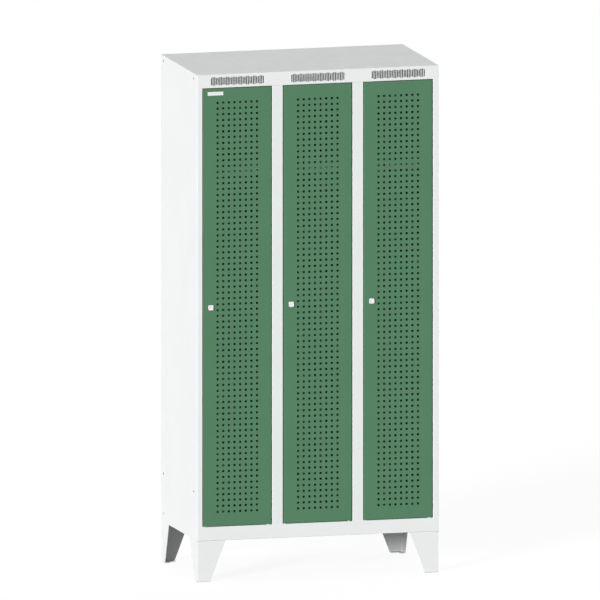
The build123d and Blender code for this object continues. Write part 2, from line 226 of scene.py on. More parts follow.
def bent_sheet(path: Sequence[Point2], sheet: float, inner: float, steps: int = 4,
               outer: Optional[float] = None) -> list[Pair]:
    """Lays a sheet along a path, with a round bend at each corner of the path.

    Args:
        path: the corners of one face of the sheet, with the sheet on the left of the way.
        sheet: the thickness.
        inner: the radius inside each bend.
        steps: how many flats stand for a bend.
        outer: the radius outside each bend, or None for the sheet's thickness more than inside.

    Returns:
        Pairs of points, one on the path's face and one on the other face.
    """
    pairs: list[Pair] = []
    outside = inner + sheet if outer is None else outer
    ways = [((b[0] - a[0]) / math.dist(a, b), (b[1] - a[1]) / math.dist(a, b))
            for a, b in zip(path, path[1:])]
    for point, way, onward in zip(path, [ways[0], *ways], [*ways, None]):
        if way is onward or onward is None:
            pairs.append((point, (point[0] - way[1] * sheet, point[1] + way[0] * sheet)))
            continue
        turn = math.atan2(way[0] * onward[1] - way[1] * onward[0],
                          way[0] * onward[0] + way[1] * onward[1])
        side = 1.0 if turn > 0 else -1.0
        left = (-way[1], way[0])
        slope = math.tan(abs(turn) / 2)
        mitre = (left[0] - side * slope * way[0], left[1] - side * slope * way[1])
        near, far = (outside, inner) if turn > 0 else (inner, outside)
        other = (point[0] + sheet * mitre[0], point[1] + sheet * mitre[1])
        arcs = []
        for corner, radius in ((point, near), (other, far)):
            centre = (corner[0] + radius * (side * left[0] - slope * way[0]),
                      corner[1] + radius * (side * left[1] - slope * way[1]))
            arms = [turned((-side * left[0], -side * left[1]), turn * step / steps)
                    for step in range(steps + 1)]
            arcs.append([(centre[0] + arm[0] * radius, centre[1] + arm[1] * radius)
                         for arm in arms])
        pairs.extend(zip(*arcs))
    return pairs


@dataclass
class Shell:
    """The points and faces of one piece while it is put together, in millimetres.

    Each method that adds to it gives it back, so that calls can follow one another.
    """

    points: list[Point3] = field(default_factory=list)
    faces: list[tuple[int, ...]] = field(default_factory=list)

    def add(self, points: Iterable[Point3], faces: Iterable[Sequence[int]]) -> "Shell":
        """Adds points and faces.

        Args:
            points: the points.
            faces: the faces, which count from the first of these points.

        Returns:
            This shell.
        """
        start = len(self.points)
        self.points.extend(points)
        self.faces.extend(tuple(start + i for i in face) for face in faces)
        return self

    def skin(self, rows: Sequence[Sequence[Point3]]) -> "Shell":
        """Lays quads between rows of points and from the last row back to the first.

        Args:
            rows: closed rings with equal numbers of points.

        Returns:
            This shell.
        """
        width, faces = len(rows[0]), []
        for r in range(len(rows)):
            here, after = r * width, (r + 1) % len(rows) * width
            for c in range(width):
                right = (c + 1) % width
                faces.append((here + c, here + right, after + right, after + c))
        return self.add([point for row in rows for point in row], faces)

    def box(self, x: Span, y: Span, z: Span) -> "Shell":
        """Adds a closed box between two limits on each axis.

        Args:
            x: its limits along X.
            y: its limits along Y.
            z: its limits along Z.

        Returns:
            This shell.
        """
        corners = [(x[i], y[j], z[k]) for i in (0, 1) for j in (0, 1) for k in (0, 1)]
        return self.add(corners, [(0, 1, 3, 2), (4, 6, 7, 5), (0, 4, 5, 1), (2, 3, 7, 6),
                                  (0, 2, 6, 4), (1, 5, 7, 3)])

    def loft(self, starts: Sequence[Pair3], ends: Sequence[Pair3]) -> "Shell":
        """Adds a closed sheet between two sections of paired points.

        Args:
            starts: the pairs of the first section.
            ends: the pairs of the second section, as many.

        Returns:
            This shell.
        """
        count = len(starts)
        points = [pair[face] for pairs in (starts, ends) for face in (0, 1) for pair in pairs]
        near, inner, far, deep = 0, count, 2 * count, 3 * count
        faces = []
        for i in range(count - 1):
            j = i + 1
            faces += [(near + i, near + j, far + j, far + i),
                      (inner + i, deep + i, deep + j, inner + j),
                      (near + i, inner + i, inner + j, near + j),
                      (far + i, far + j, deep + j, deep + i)]
        faces += [(near + i, far + i, deep + i, inner + i) for i in (0, count - 1)]
        return self.add(points, faces)

    def draw(self, pairs: Sequence[Pair], axis: Axis, span: Span) -> "Shell":
        """Adds a bent sheet's section, as bent_sheet gives it, drawn out over a span of an axis."""
        return self.loft(*([(axis.place(along, a), axis.place(along, b)) for a, b in pairs]
                           for along in span))

    def mirrored(self, x: bool = False, y: Optional[float] = None) -> "Shell":
        """Mirrors the shell.

        Args:
            x: whether to swap left and right.
            y: the plane of Y to mirror about, if it is to be swapped too.

        Returns:
            A new shell. Its faces are turned outwards when it becomes an object.
        """
        points = [(-p[0] if x else p[0], p[1] if y is None else 2 * y - p[1], p[2])
                  for p in self.points]
        return Shell(points, list(self.faces))

    def mesh(self, name: str) -> Mesh:
        """Makes a mesh of the shell, in metres, with its faces as they are.

        Args:
            name: the mesh's name.

        Returns:
            The new mesh.
        """
        made = bpy.data.meshes.new(name)
        made.from_pydata([Vector(p) * MM for p in self.points], [], self.faces)
        return made

    def piece(self, name: str) -> Piece:
        """Makes an object of the shell, at the origin, with its faces outwards."""
        return object_of(turned_outwards(self.mesh(name)), name)


@contextmanager
def opened(mesh: Mesh) -> Iterator[bmesh.types.BMesh]:
    """Opens a mesh for an edit and writes it back at the end.

    Args:
        mesh: the mesh.

    Yields:
        The mesh in the form in which it can be edited.
    """
    work = bmesh.new()
    work.from_mesh(mesh)
    yield work
    work.to_mesh(mesh)
    work.free()


def turned_outwards(mesh: Mesh) -> Mesh:
    """Turns the faces of a closed mesh outwards.

    Args:
        mesh: the mesh.

    Returns:
        The same mesh.
    """
    with opened(mesh) as work:
        bmesh.ops.recalc_face_normals(work, faces=work.faces)
    return mesh


def object_of(content: bpy.types.ID, name: str, towards: Optional[Vector] = None) -> Piece:
    """Puts a mesh, a camera or a lamp into the scene as an object at the origin.

    Args:
        content: what the object shows.
        name: the object's name.
        towards: the direction of its own Z, or None to leave it unturned.

    Returns:
        The new object.
    """
    made = bpy.data.objects.new(name, content)
    if towards is not None:
        made.rotation_euler = towards.to_track_quat("Z", "Y").to_euler()
    bpy.context.scene.collection.objects.link(made)
    return made


def baked(piece: Piece) -> Piece:
    """Turns a piece and its modifiers into a plain mesh.

    Args:
        piece: the object, which keeps its name and its place.

    Returns:
        The same object, with the result as its mesh and no modifiers.
    """
    graph = bpy.context.evaluated_depsgraph_get()
    mesh = bpy.data.meshes.new_from_object(piece.evaluated_get(graph),
                                           preserve_all_data_layers=True, depsgraph=graph)
    old = piece.data
    piece.modifiers.clear()
    piece.data = mesh
    mesh.name = piece.name
    if old.users == 0:
        bpy.data.meshes.remove(old)
    return piece


def smooth(piece: Piece, rounding: float, steps: int) -> None:
    """Rounds a piece's sharp edges a little, smooths its shading and leaves it a plain mesh.

    Args:
        piece: the object to finish.
        rounding: the width of the rounding in millimetres, or 0 for none.
        steps: how many flats the rounding has.
    """
    if rounding > 0:
        bevel = piece.modifiers.new("rounding", "BEVEL")
        bevel.width = rounding * MM
        bevel.segments = steps
        bevel.limit_method = "ANGLE"
        bevel.angle_limit = math.radians(SHARP_ANGLE)
        bevel.use_clamp_overlap = True
        baked(piece)
    sharp = ROUNDED_SHARP_ANGLE if rounding > 0 else SHARP_ANGLE
    piece.data.shade_smooth()
    piece.data.set_sharp_from_angle(angle=math.radians(sharp))
    weight = piece.modifiers.new("weight", "WEIGHTED_NORMAL")
    weight.keep_sharp = True
    weight.weight = AREA_WEIGHT
    baked(piece)


def copied_node(node: str, name: str) -> Piece:
    """Copies a CAD node's mesh with its loose triangles merged and its flats made whole.

    Args:
        node: the CAD node's name.
        name: the new object's name.

    Returns:
        The copy, which can be rounded and dressed.
    """
    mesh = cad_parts[node].data.copy()
    mesh.materials.clear()
    with opened(mesh) as work:
        bmesh.ops.remove_doubles(work, verts=work.verts, dist=LOOSE_GAP)
        bmesh.ops.dissolve_limit(work, angle_limit=math.radians(FLAT_ANGLE), verts=work.verts,
                                 edges=work.edges)
        bmesh.ops.recalc_face_normals(work, faces=work.faces)
    for layer in list(mesh.attributes):
        if layer.name in ("custom_normal", "sharp_edge", "sharp_face"):
            mesh.attributes.remove(layer)
    return object_of(mesh, name)


# Node trees


class Socket(Enum):
    """The kinds of socket that the trees here have."""

    VALUE = "NodeSocketFloat"
    COUNT = "NodeSocketInt"
    VECTOR = "NodeSocketVector"
    MATERIAL = "NodeSocketMaterial"
    GEOMETRY = "NodeSocketGeometry"


def label(word: str) -> str:
    """Turns a keyword into a socket's name, such as Slot Long for slot_long."""
    return word.replace("_", " ").title()


class Nodes:
    """Adds nodes to a tree and wires them, for shaders and for geometry alike."""

    def __init__(self, tree: Tree) -> None:
        """Keeps the tree that the nodes go into."""
        self.tree = tree

    def declare(self, sockets: dict[Socket, str], way: str = "INPUT") -> None:
        """Gives the tree itself named sockets.

        Args:
            sockets: the names, with commas between them, by the sockets' kind.
            way: INPUT or OUTPUT.
        """
        for kind, names in sockets.items():
            for name in names.split(", "):
                self.tree.interface.new_socket(name, in_out=way, socket_type=kind.value)

    def wire(self, node: Node, feeds: dict[Union[str, int], Feed]) -> Node:
        """Feeds a node's inputs.

        Args:
            node: the node.
            feeds: by input name or number, a value, an output of another node or a list of outputs.

        Returns:
            The same node.
        """
        for key, value in feeds.items():
            sources = value if isinstance(value, list) else [value]
            for source in sources:
                if isinstance(source, Output):
                    self.tree.links.new(source, node.inputs[key])
                else:
                    node.inputs[key].default_value = source
        return node

    def add(self, kind: str, feeds: dict[Union[str, int], Feed],
            **settings: Union[str, bool]) -> Node:
        """Adds one node.

        Args:
            kind: the node's type.
            feeds: what its inputs get, as wire takes them.
            settings: the node's own properties.

        Returns:
            The new node.
        """
        made = self.tree.nodes.new(kind)
        for key, value in settings.items():
            setattr(made, key, value)
        return self.wire(made, feeds)

    def out(self, kind: str, **feeds: Feed) -> Output:
        """Adds a node, fed by its inputs' names as keywords, and gives its first output."""
        return self.add(kind, {label(key): value for key, value in feeds.items()}).outputs[0]

    def calc(self, operation: str, *values: Feed) -> Output:
        """Adds a Math node and gives its output."""
        return self.add("ShaderNodeMath", dict(enumerate(values)), operation=operation).outputs[0]

    def vector(self, operation: str, *values: Feed) -> Output:
        """Adds a Vector Math node and gives its vector output."""
        feeds = dict(enumerate(values))
        return self.add("ShaderNodeVectorMath", feeds, operation=operation).outputs[0]

    def parts(self, vector: Feed) -> bpy.types.bpy_prop_collection:
        """Parts a vector into X, Y and Z."""
        return self.add("ShaderNodeSeparateXYZ", {0: vector}).outputs

    def joined(self, **parts: Feed) -> Output:
        """Joins x, y and z, or some of them, to a vector."""
        return self.out("ShaderNodeCombineXYZ", **parts)

    def noise(self, place: Feed, scale: Feed, detail: float,
              roughness: float = 0.5) -> Output:
        """Adds a noise and gives its value."""
        return self.out("ShaderNodeTexNoise", vector=place, scale=scale, detail=detail,
                        roughness=roughness)

    def mix(self, share: Feed, first: Feed, second: Feed) -> Output:
        """Adds a colour mix and gives its output."""
        node = self.add("ShaderNodeMix", {0: share, 6: first, 7: second}, data_type="RGBA")
        return node.outputs[2]

    def ramp(self, value: Feed, low: float, high: float, start: float = 0.0,
             end: float = 1.0) -> Output:
        """Maps a value from one range to another, held at both ends."""
        feeds = {"Value": value, "From Min": low, "From Max": high, "To Min": start, "To Max": end}
        return self.add("ShaderNodeMapRange", feeds, clamp=True).outputs[0]


class GeometryTool(Nodes):
    """A Geometry Nodes tree with named inputs that makes one kind of repeated shape."""

    def __init__(self, name: str, sizes: dict[Socket, str]) -> None:
        """Starts the tree.

        Args:
            name: the tree's name.
            sizes: its named inputs, after the geometry and before the material.
        """
        super().__init__(bpy.data.node_groups.new(name, "GeometryNodeTree"))
        self.declare({Socket.GEOMETRY: "Geometry", **sizes, Socket.MATERIAL: "Material"})
        self.declare({Socket.GEOMETRY: "Geometry"}, "OUTPUT")
        self.given = self.tree.nodes.new("NodeGroupInput").outputs

    def geo(self, kind: str, **feeds: Feed) -> Output:
        """Adds a geometry node in the way of out."""
        return self.out("GeometryNode" + kind, **feeds)

    def rectangle(self, width: str, height: str,
                  corner: Optional[Feed] = None) -> Output:
        """Adds a rectangle's curve, with round corners if a radius is given.

        Args:
            width: the input that holds its size along X.
            height: the input that holds its size along Y.
            corner: the radius of its corners, or nothing.

        Returns:
            The curve.
        """
        curve = self.geo("CurvePrimitiveQuadrilateral", width=self.given[width],
                         height=self.given[height])
        if corner is None:
            return curve
        feeds = {"Curve": curve, "Radius": corner, "Count": 2, "Limit Radius": True}
        return self.add("GeometryNodeFilletCurve", feeds, mode="POLY").outputs[0]

    def repeated(self, points: Feed, shape: Feed) -> Output:
        """Puts a real copy of a shape at each point."""
        copies = self.geo("InstanceOnPoints", points=points, instance=shape)
        return self.geo("RealizeInstances", geometry=copies)

    def boolean(self, operation: str, feeds: dict[str, Feed]) -> Output:
        """Adds an exact Boolean of the solids that Mesh 1 and Mesh 2 get."""
        return self.add("GeometryNodeMeshBoolean", feeds, operation=operation,
                        solver="EXACT").outputs[0]

    def plate(self, curves: list[Output]) -> Output:
        """Fills closed curves in the XY plane and thickens them into a standing sheet.

        Args:
            curves: the outline and its holes.

        Returns:
            The sheet's closed mesh, with its back at the Place input and its front towards -Y.
        """
        fill = self.geo("FillCurve", curve=self.geo("JoinGeometry", geometry=curves))
        feeds = {"Mesh": fill, "Offset": (0.0, 0.0, 1.0), "Offset Scale": self.given["Thickness"],
                 "Individual": False}
        grown = self.add("GeometryNodeExtrudeMesh", feeds).outputs[0]
        both = self.geo("JoinGeometry", geometry=[grown, self.geo("FlipFaces", mesh=fill)])
        whole = self.geo("MergeByDistance", geometry=both, distance=SEAM_GAP)
        stood = self.geo("Transform", geometry=whole, rotation=(math.radians(90.0), 0.0, 0.0))
        return self.geo("Transform", geometry=stood, translation=self.given["Place"])

    def end(self, geometry: Output) -> "GeometryTool":
        """Ends the tree in realised instances with the material set.

        Args:
            geometry: the result.

        Returns:
            This tree.
        """
        real = self.geo("RealizeInstances", geometry=geometry)
        dressed = self.geo("SetMaterial", geometry=real, material=self.given["Material"])
        self.add("NodeGroupOutput", {"Geometry": dressed})
        return self

    def make(self, name: str, finish: "Finish", points: Sequence[Point3] = (),
             **sizes: Union[float, int, Point3]) -> Piece:
        """Runs the tree once and gives the result as a plain mesh.

        Args:
            name: the piece's name.
            finish: its finish.
            points: the places that the tree gets as its geometry.
            sizes: the named inputs: lengths and places in millimetres, and counts.

        Returns:
            The new piece.
        """
        mesh = bpy.data.meshes.new(name)
        mesh.from_pydata([in_metres(point) for point in points] or [(0.0, 0.0, 0.0)], [], [])
        made = object_of(mesh, name)
        run = made.modifiers.new(self.tree.name, "NODES")
        run.node_group = self.tree
        keys = {item.name: item.identifier for item in self.tree.interface.items_tree
                if item.in_out == "INPUT"}
        run[keys["Material"]] = finish.material()
        for word, size in sizes.items():
            if isinstance(size, tuple):
                size = in_metres(size)
            elif isinstance(size, float):
                size = size * MM
            run[keys[label(word)]] = size
        made.update_tag()
        return baked(made)


def perforation_tool() -> GeometryTool:
    """Builds the tree for a door's sheet: a grid of square holes, and a round one for the lock.

    Returns:
        The tree.
    """
    n = GeometryTool("perforated_sheet", {
        Socket.VALUE: "Width, Height, Thickness, Hole, Hole Corner, Pitch, Lock Radius",
        Socket.COUNT: "Columns, Rows", Socket.VECTOR: "Lock Place, Place"})
    given, lock_sides = n.given, 48
    across, up = (n.calc("MULTIPLY", given["Pitch"], n.calc("SUBTRACT", given[word], 1.0))
                  for word in ("Columns", "Rows"))
    grid = n.geo("MeshGrid", size_x=across, size_y=up, vertices_x=given["Columns"],
                 vertices_y=given["Rows"])
    lock = n.geo("CurvePrimitiveCircle", resolution=lock_sides, radius=given["Lock Radius"])
    return n.end(n.plate([n.rectangle("Width", "Height"),
                          n.repeated(grid, n.rectangle("Hole", "Hole", given["Hole Corner"])),
                          n.geo("Transform", geometry=lock, translation=given["Lock Place"])]))


def vent_tool() -> GeometryTool:
    """Builds the tree for the band above the doors: fields of slots, short and long in turn.

    Returns:
        The tree.
    """
    corner_share = 0.3
    n = GeometryTool("vented_sheet", {
        Socket.VALUE: "Width, Height, Thickness, Slot Width, Slot Long, Slot Short, Slot Pitch, "
                      "Slot Drop, Field Pitch",
        Socket.COUNT: "Slots, Fields", Socket.VECTOR: "Place"})
    given = n.given
    corner = n.calc("MULTIPLY", given["Slot Width"], corner_share)
    rows = []
    for number, pitch in (("Slots", "Slot Pitch"), ("Fields", "Field Pitch")):
        reach = n.calc("MULTIPLY", given[pitch], n.calc("SUBTRACT", given[number], 1.0))
        start = n.joined(x=n.calc("MULTIPLY", reach, -0.5))
        rows.append(n.geo("MeshLine", count=given[number], start_location=start,
                          offset=n.joined(x=given[pitch])))
    index = n.geo("InputIndex")
    pair = n.calc("FLOOR", n.calc("DIVIDE", n.calc("ADD", index, 1.0), 2.0))
    is_long = n.calc("MODULO", pair, 2.0)
    is_short = n.calc("SUBTRACT", 1.0, is_long)
    slots = []
    for length, chosen in (("Slot Short", is_short), ("Slot Long", is_long)):
        curve = n.rectangle("Slot Width", length, corner)
        slots.append(n.geo("InstanceOnPoints", points=rows[0], selection=chosen, instance=curve))
    one = n.geo("RealizeInstances", geometry=n.geo("JoinGeometry", geometry=slots))
    drop = n.joined(y=n.calc("MULTIPLY", given["Slot Drop"], -1.0))
    one = n.geo("Transform", geometry=one, translation=drop)
    return n.end(n.plate([n.rectangle("Width", "Height"), n.repeated(rows[1], one)]))


def punch_tool() -> GeometryTool:
    """Builds the tree for a flat sheet with a round hole at each given point.

    Returns:
        The tree.
    """
    n = GeometryTool("punched_sheet", {Socket.VALUE: "Width, Height, Thickness, Hole Radius",
                                       Socket.VECTOR: "Place"})
    hole_sides = 40
    ring = n.geo("CurvePrimitiveCircle", resolution=hole_sides, radius=n.given["Hole Radius"])
    return n.end(n.plate([n.rectangle("Width", "Height"), n.repeated(n.given["Geometry"], ring)]))


def hexagon_tool(threaded: bool) -> GeometryTool:
    """Builds the tree for hexagon bolts, or for nuts, standing at the given points.

    Args:
        threaded: whether it makes nuts with a hole, and not bolts with a shank.

    Returns:
        The tree.
    """
    chamfer_share, chamfer_slope, chamfer_sides = 0.475, 1.8, 36
    pin_sides, bore_share = 28, 3.0
    n = GeometryTool("hexagon_nuts" if threaded else "hexagon_bolts", {
        Socket.VALUE: "Flats, Height, Shank Radius, Shank Length, Shank Sink"})
    given, height = n.given, n.given["Height"]
    middle = n.joined(z=n.calc("MULTIPLY", height, 0.5))
    prism = n.geo("MeshCylinder", vertices=6, depth=height,
                  radius=n.calc("DIVIDE", given["Flats"], math.sqrt(3.0)))
    prism = n.geo("Transform", geometry=prism, translation=middle)
    narrow = n.calc("MULTIPLY", given["Flats"], chamfer_share)
    wide = n.calc("ADD", narrow, n.calc("MULTIPLY", height, chamfer_slope))
    cones = [(narrow, wide), (wide, narrow)] if threaded else [(wide, narrow)]
    trimmed = prism
    for top, bottom in cones:
        cone = n.geo("MeshCone", vertices=chamfer_sides, radius_top=top, radius_bottom=bottom,
                     depth=height)
        trimmed = n.boolean("INTERSECT", {"Mesh 2": [trimmed, cone]})
    depth = n.calc("MULTIPLY", height, bore_share) if threaded else given["Shank Length"]
    pin = n.geo("MeshCylinder", vertices=pin_sides, radius=given["Shank Radius"], depth=depth)
    if threaded:
        whole = n.boolean("DIFFERENCE", {"Mesh 1": trimmed, "Mesh 2": pin})
    else:
        rise = n.calc("ADD", height, n.calc("MULTIPLY", depth, 0.5))
        lift = n.joined(z=n.calc("SUBTRACT", rise, given["Shank Sink"]))
        pin = n.geo("Transform", geometry=pin, translation=lift)
        whole = n.boolean("UNION", {"Mesh 2": [trimmed, pin]})
    return n.end(n.geo("InstanceOnPoints", points=given["Geometry"], instance=whole))


# Shader groups


class ShaderGroup(Enum):
    """The effects that more than one finish uses, each a shader node group made once."""

    GRAIN = "coating_grain"
    WEAR = "edge_wear"
    DUST = "settled_dust"
    STREAK = "rolled_streaks"
    WELD = "spot_welds"

    def tree(self) -> Tree:
        """Gives the group, and makes it the first time."""
        return bpy.data.node_groups.get(self.value) or GROUP_MAKERS[self](self.value)

    def into(self, n: Nodes, **feeds: Feed) -> bpy.types.bpy_prop_collection:
        """Places the group in a material.

        Args:
            n: the material's nodes.
            feeds: the group's inputs, as keywords.

        Returns:
            The outputs of the group's node.
        """
        made = n.add("ShaderNodeGroup", {})
        made.node_tree = self.tree()
        return n.wire(made, {label(key): value for key, value in feeds.items()}).outputs


class GroupTool(Nodes):
    """A shader group while it is built."""

    def __init__(self, name: str, inputs: dict[Socket, str]) -> None:
        """Starts the group.

        Args:
            name: its name.
            inputs: its named inputs.
        """
        super().__init__(bpy.data.node_groups.new(name, "ShaderNodeTree"))
        self.declare(inputs)
        self.given = self.tree.nodes.new("NodeGroupInput").outputs

    def end(self, outputs: dict[str, Output]) -> Tree:
        """Ends the group in named values.

        Args:
            outputs: the values by name.

        Returns:
            The finished tree.
        """
        self.declare({Socket.VALUE: ", ".join(outputs)}, "OUTPUT")
        self.add("NodeGroupOutput", outputs)
        return self.tree


def make_grain(name: str) -> Tree:
    """Makes the fine orange peel of a baked coating, with slow changes of tone and gloss.

    Args:
        name: the group's name.

    Returns:
        The group.
    """
    fleck_fineness, fleck_share = 2.7, 0.25
    n = GroupTool(name, {Socket.VECTOR: "Position", Socket.VALUE: "Scale"})
    place, scale = n.given["Position"], n.given["Scale"]
    peel = n.noise(place, scale, detail=2.0, roughness=0.55)
    fleck = n.noise(place, n.calc("MULTIPLY", scale, fleck_fineness), detail=1.0)
    slow = n.noise(place, scale=4.5, detail=3.0)
    height = n.calc("ADD", n.calc("MULTIPLY", peel, 1.0 - fleck_share),
                    n.calc("MULTIPLY", fleck, fleck_share))
    return n.end({"Height": height, "Tone": n.ramp(slow, *NOISE_BAND),
                  "Gloss": n.ramp(peel, *NOISE_BAND)})


def make_wear(name: str) -> Tree:
    """Makes a mask of rubbed spots along the edges of a box that may repeat along X.

    Args:
        name: the group's name.

    Returns:
        The group.
    """
    n = GroupTool(name, {Socket.VECTOR: "Position, Low, High", Socket.VALUE: "Period, Reach"})
    given = n.given
    low, place = n.parts(given["Low"])[0], n.parts(given["Position"])
    along = n.calc("FLOORED_MODULO", n.calc("SUBTRACT", place[0], low), given["Period"])
    folded = n.joined(x=n.calc("ADD", along, low), y=place[1], z=place[2])
    inside = n.vector("MINIMUM", n.vector("SUBTRACT", folded, given["Low"]),
                      n.vector("SUBTRACT", given["High"], folded))
    near = n.parts(n.vector("ABSOLUTE", inside))
    second = n.calc("MAXIMUM", n.calc("MINIMUM", near[0], near[1]),
                    n.calc("MINIMUM", n.calc("MAXIMUM", near[0], near[1]), near[2]))
    share = n.calc("MINIMUM", n.calc("DIVIDE", second, given["Reach"]), 1.0)
    spots = n.noise(given["Position"], scale=34.0, detail=4.0, roughness=0.7)
    rubbed = n.calc("MULTIPLY", n.calc("SUBTRACT", 1.0, share), spots)
    return n.end({"Mask": n.ramp(rubbed, low=0.42, high=0.52)})


def make_dust(name: str) -> Tree:
    """Makes a thin uneven mask on faces that look up.

    Args:
        name: the group's name.

    Returns:
        The group.
    """
    n = GroupTool(name, {Socket.VECTOR: "Position"})
    upward = n.parts(n.add("ShaderNodeNewGeometry", {}).outputs["Normal"])[2]
    cloud = n.noise(n.given["Position"], scale=22.0, detail=5.0)
    return n.end({"Mask": n.calc("MULTIPLY", n.ramp(upward, low=0.6, high=1.0),
                                 n.ramp(cloud, low=0.35, high=0.75))})


def make_streaks(name: str) -> Tree:
    """Makes the fine lines and pale crystals of rolled and plated metal.

    Args:
        name: the group's name.

    Returns:
        The group.
    """
    n = GroupTool(name, {Socket.VECTOR: "Position, Stretch"})
    place = n.given["Position"]
    line = n.noise(n.vector("MULTIPLY", place, n.given["Stretch"]), scale=900.0, detail=3.0)
    cells = n.add("ShaderNodeTexVoronoi", {"Vector": place, "Scale": 420.0}).outputs["Color"]
    return n.end({"Line": n.ramp(line, *NOISE_BAND),
                  "Crystal": n.out("ShaderNodeSeparateColor", color=cells)})


def make_welds(name: str) -> Tree:
    """Makes the shallow round marks of spot welds, on a grid that ends at Reach from the middle.

    Args:
        name: the group's name.

    Returns:
        The group.
    """
    n = GroupTool(name, {Socket.VECTOR: "Position, Origin, Pitch", Socket.VALUE: "Radius, Reach"})
    given = n.given
    half = n.vector("MULTIPLY", given["Pitch"], (0.5, 0.5, 0.5))
    cell = n.vector("ADD", n.vector("SUBTRACT", given["Position"], given["Origin"]), half)
    near = n.vector("SUBTRACT", n.vector("WRAP", cell, given["Pitch"], (0.0, 0.0, 0.0)), half)
    flat = n.vector("MULTIPLY", near, (1.0, 0.0, 1.0))
    away = n.add("ShaderNodeVectorMath", {0: flat}, operation="LENGTH").outputs["Value"]
    across = n.calc("ABSOLUTE", n.parts(given["Position"])[0])
    beyond = n.calc("GREATER_THAN", across, given["Reach"])
    share = n.calc("ADD", n.calc("DIVIDE", away, given["Radius"]), beyond)
    return n.end({"Height": n.ramp(share, low=0.55, high=1.0),
                  "Mark": n.ramp(share, low=0.7, high=1.2, start=1.0, end=0.0)})


GROUP_MAKERS = {ShaderGroup.GRAIN: make_grain, ShaderGroup.WEAR: make_wear,
                ShaderGroup.DUST: make_dust, ShaderGroup.STREAK: make_streaks,
                ShaderGroup.WELD: make_welds}


# Finishes


@dataclass(frozen=True)
class Finish:
    """What every finish has: a name, the record's slot, two colours, roughness and relief."""

    name: str
    slot: str
    colour: Colour
    roughness: float
    second: Colour
    gloss_swing: Span = (0.0, 0.0)
    bump_depth: float = 0.03
    bump_strength: float = 0.4

    def dress(self, n: Nodes, shader: Node, place: Output) -> None:
        """Wires the finish's own nodes; each kind of finish does it in its way."""
        raise NotImplementedError

    def material(self) -> bpy.types.Material:
        """Gives the material, and makes it the first time.

        Returns:
            The material.
        """
        known = bpy.data.materials.get(self.name)
        if known:
            return known
        made = bpy.data.materials.new(self.name)
        made.use_nodes = True
        made.diffuse_color = self.colour
        n = Nodes(made.node_tree)
        place = n.add("ShaderNodeTexCoord", {}).outputs["Object"]
        self.dress(n, made.node_tree.nodes["Principled BSDF"], place)
        return made

    def rough(self, n: Nodes, gloss: Output) -> Output:
        """Swings the roughness a little with the gloss."""
        low, high = (self.roughness + swing for swing in self.gloss_swing)
        return n.ramp(gloss, 0.0, 1.0, low, high)

    def relief(self, n: Nodes, height: Output) -> Output:
        """Makes a normal of a height."""
        return n.out("ShaderNodeBump", height=height, distance=self.bump_depth * MM,
                     strength=self.bump_strength)


@dataclass(frozen=True)
class PowderCoat(Finish):
    """A baked powder coating: orange peel, slow changes of tone, rubbed edges and a little dust."""

    gloss_swing: Span = (-0.04, 0.05)
    bump_depth: float = 0.06
    bump_strength: float = 0.35
    rubbed: Colour = (0.5, 0.5, 0.5, 1.0)
    low: Point3 = (0.0, 0.0, 0.0)
    high: Point3 = (0.0, 0.0, 0.0)
    period: float = 9000.0
    reach: float = 3.0
    wear: float = 0.35
    dust: float = 0.05
    dust_colour: Colour = (0.42, 0.41, 0.39, 1.0)
    dust_dulling: float = 0.15
    grain: float = 620.0
    specular: float = 0.4

    def dress(self, n: Nodes, shader: Node, place: Output) -> None:
        """Wires grain, wear and dust into colour, roughness and bump.

        Args:
            n: the material's nodes.
            shader: its shader.
            place: the object coordinates.
        """
        grain = ShaderGroup.GRAIN.into(n, position=place, scale=self.grain)
        mask = ShaderGroup.WEAR.into(n, position=place, low=in_metres(self.low),
                                     high=in_metres(self.high), period=self.period * MM,
                                     reach=self.reach * MM)[0]
        dust = ShaderGroup.DUST.into(n, position=place)[0]
        coat = n.mix(grain["Tone"], self.colour, self.second)
        coat = n.mix(n.calc("MULTIPLY", mask, self.wear), coat, self.rubbed)
        coat = n.mix(n.calc("MULTIPLY", dust, self.dust), coat, self.dust_colour)
        dull = n.calc("MULTIPLY", dust, self.dust_dulling)
        n.wire(shader, {"Base Color": coat, "Specular IOR Level": self.specular,
                        "Roughness": n.calc("ADD", self.rough(n, grain["Gloss"]), dull),
                        "Normal": self.relief(n, grain["Height"])})


@dataclass(frozen=True)
class WeldedCoat(PowderCoat):
    """The same coating over rows of spot welds, as on the back where the walls inside are fixed."""

    origin: Point3 = (0.0, 0.0, 0.0)
    pitch: Point3 = (1.0, 1.0, 1.0)
    weld_radius: float = 3.2
    weld_reach: float = 200.0
    weld_depth: float = 0.35
    weld_mark: float = 0.2

    def dress(self, n: Nodes, shader: Node, place: Output) -> None:
        """Adds the weld marks to the coating's colour and bump.

        Args:
            n: the material's nodes.
            shader: its shader.
            place: the object coordinates.
        """
        super().dress(n, shader, place)
        weld = ShaderGroup.WELD.into(n, position=place, origin=in_metres(self.origin),
                                     pitch=in_metres(self.pitch), radius=self.weld_radius * MM,
                                     reach=self.weld_reach * MM)
        coat, peel = (shader.inputs[key].links[0].from_socket for key in ("Base Color", "Normal"))
        mark = n.calc("MULTIPLY", weld["Mark"], self.weld_mark)
        dent = n.out("ShaderNodeBump", height=weld["Height"], distance=self.weld_depth * MM,
                     strength=1.0, normal=peel)
        n.wire(shader, {"Base Color": n.mix(mark, coat, self.rubbed), "Normal": dent})


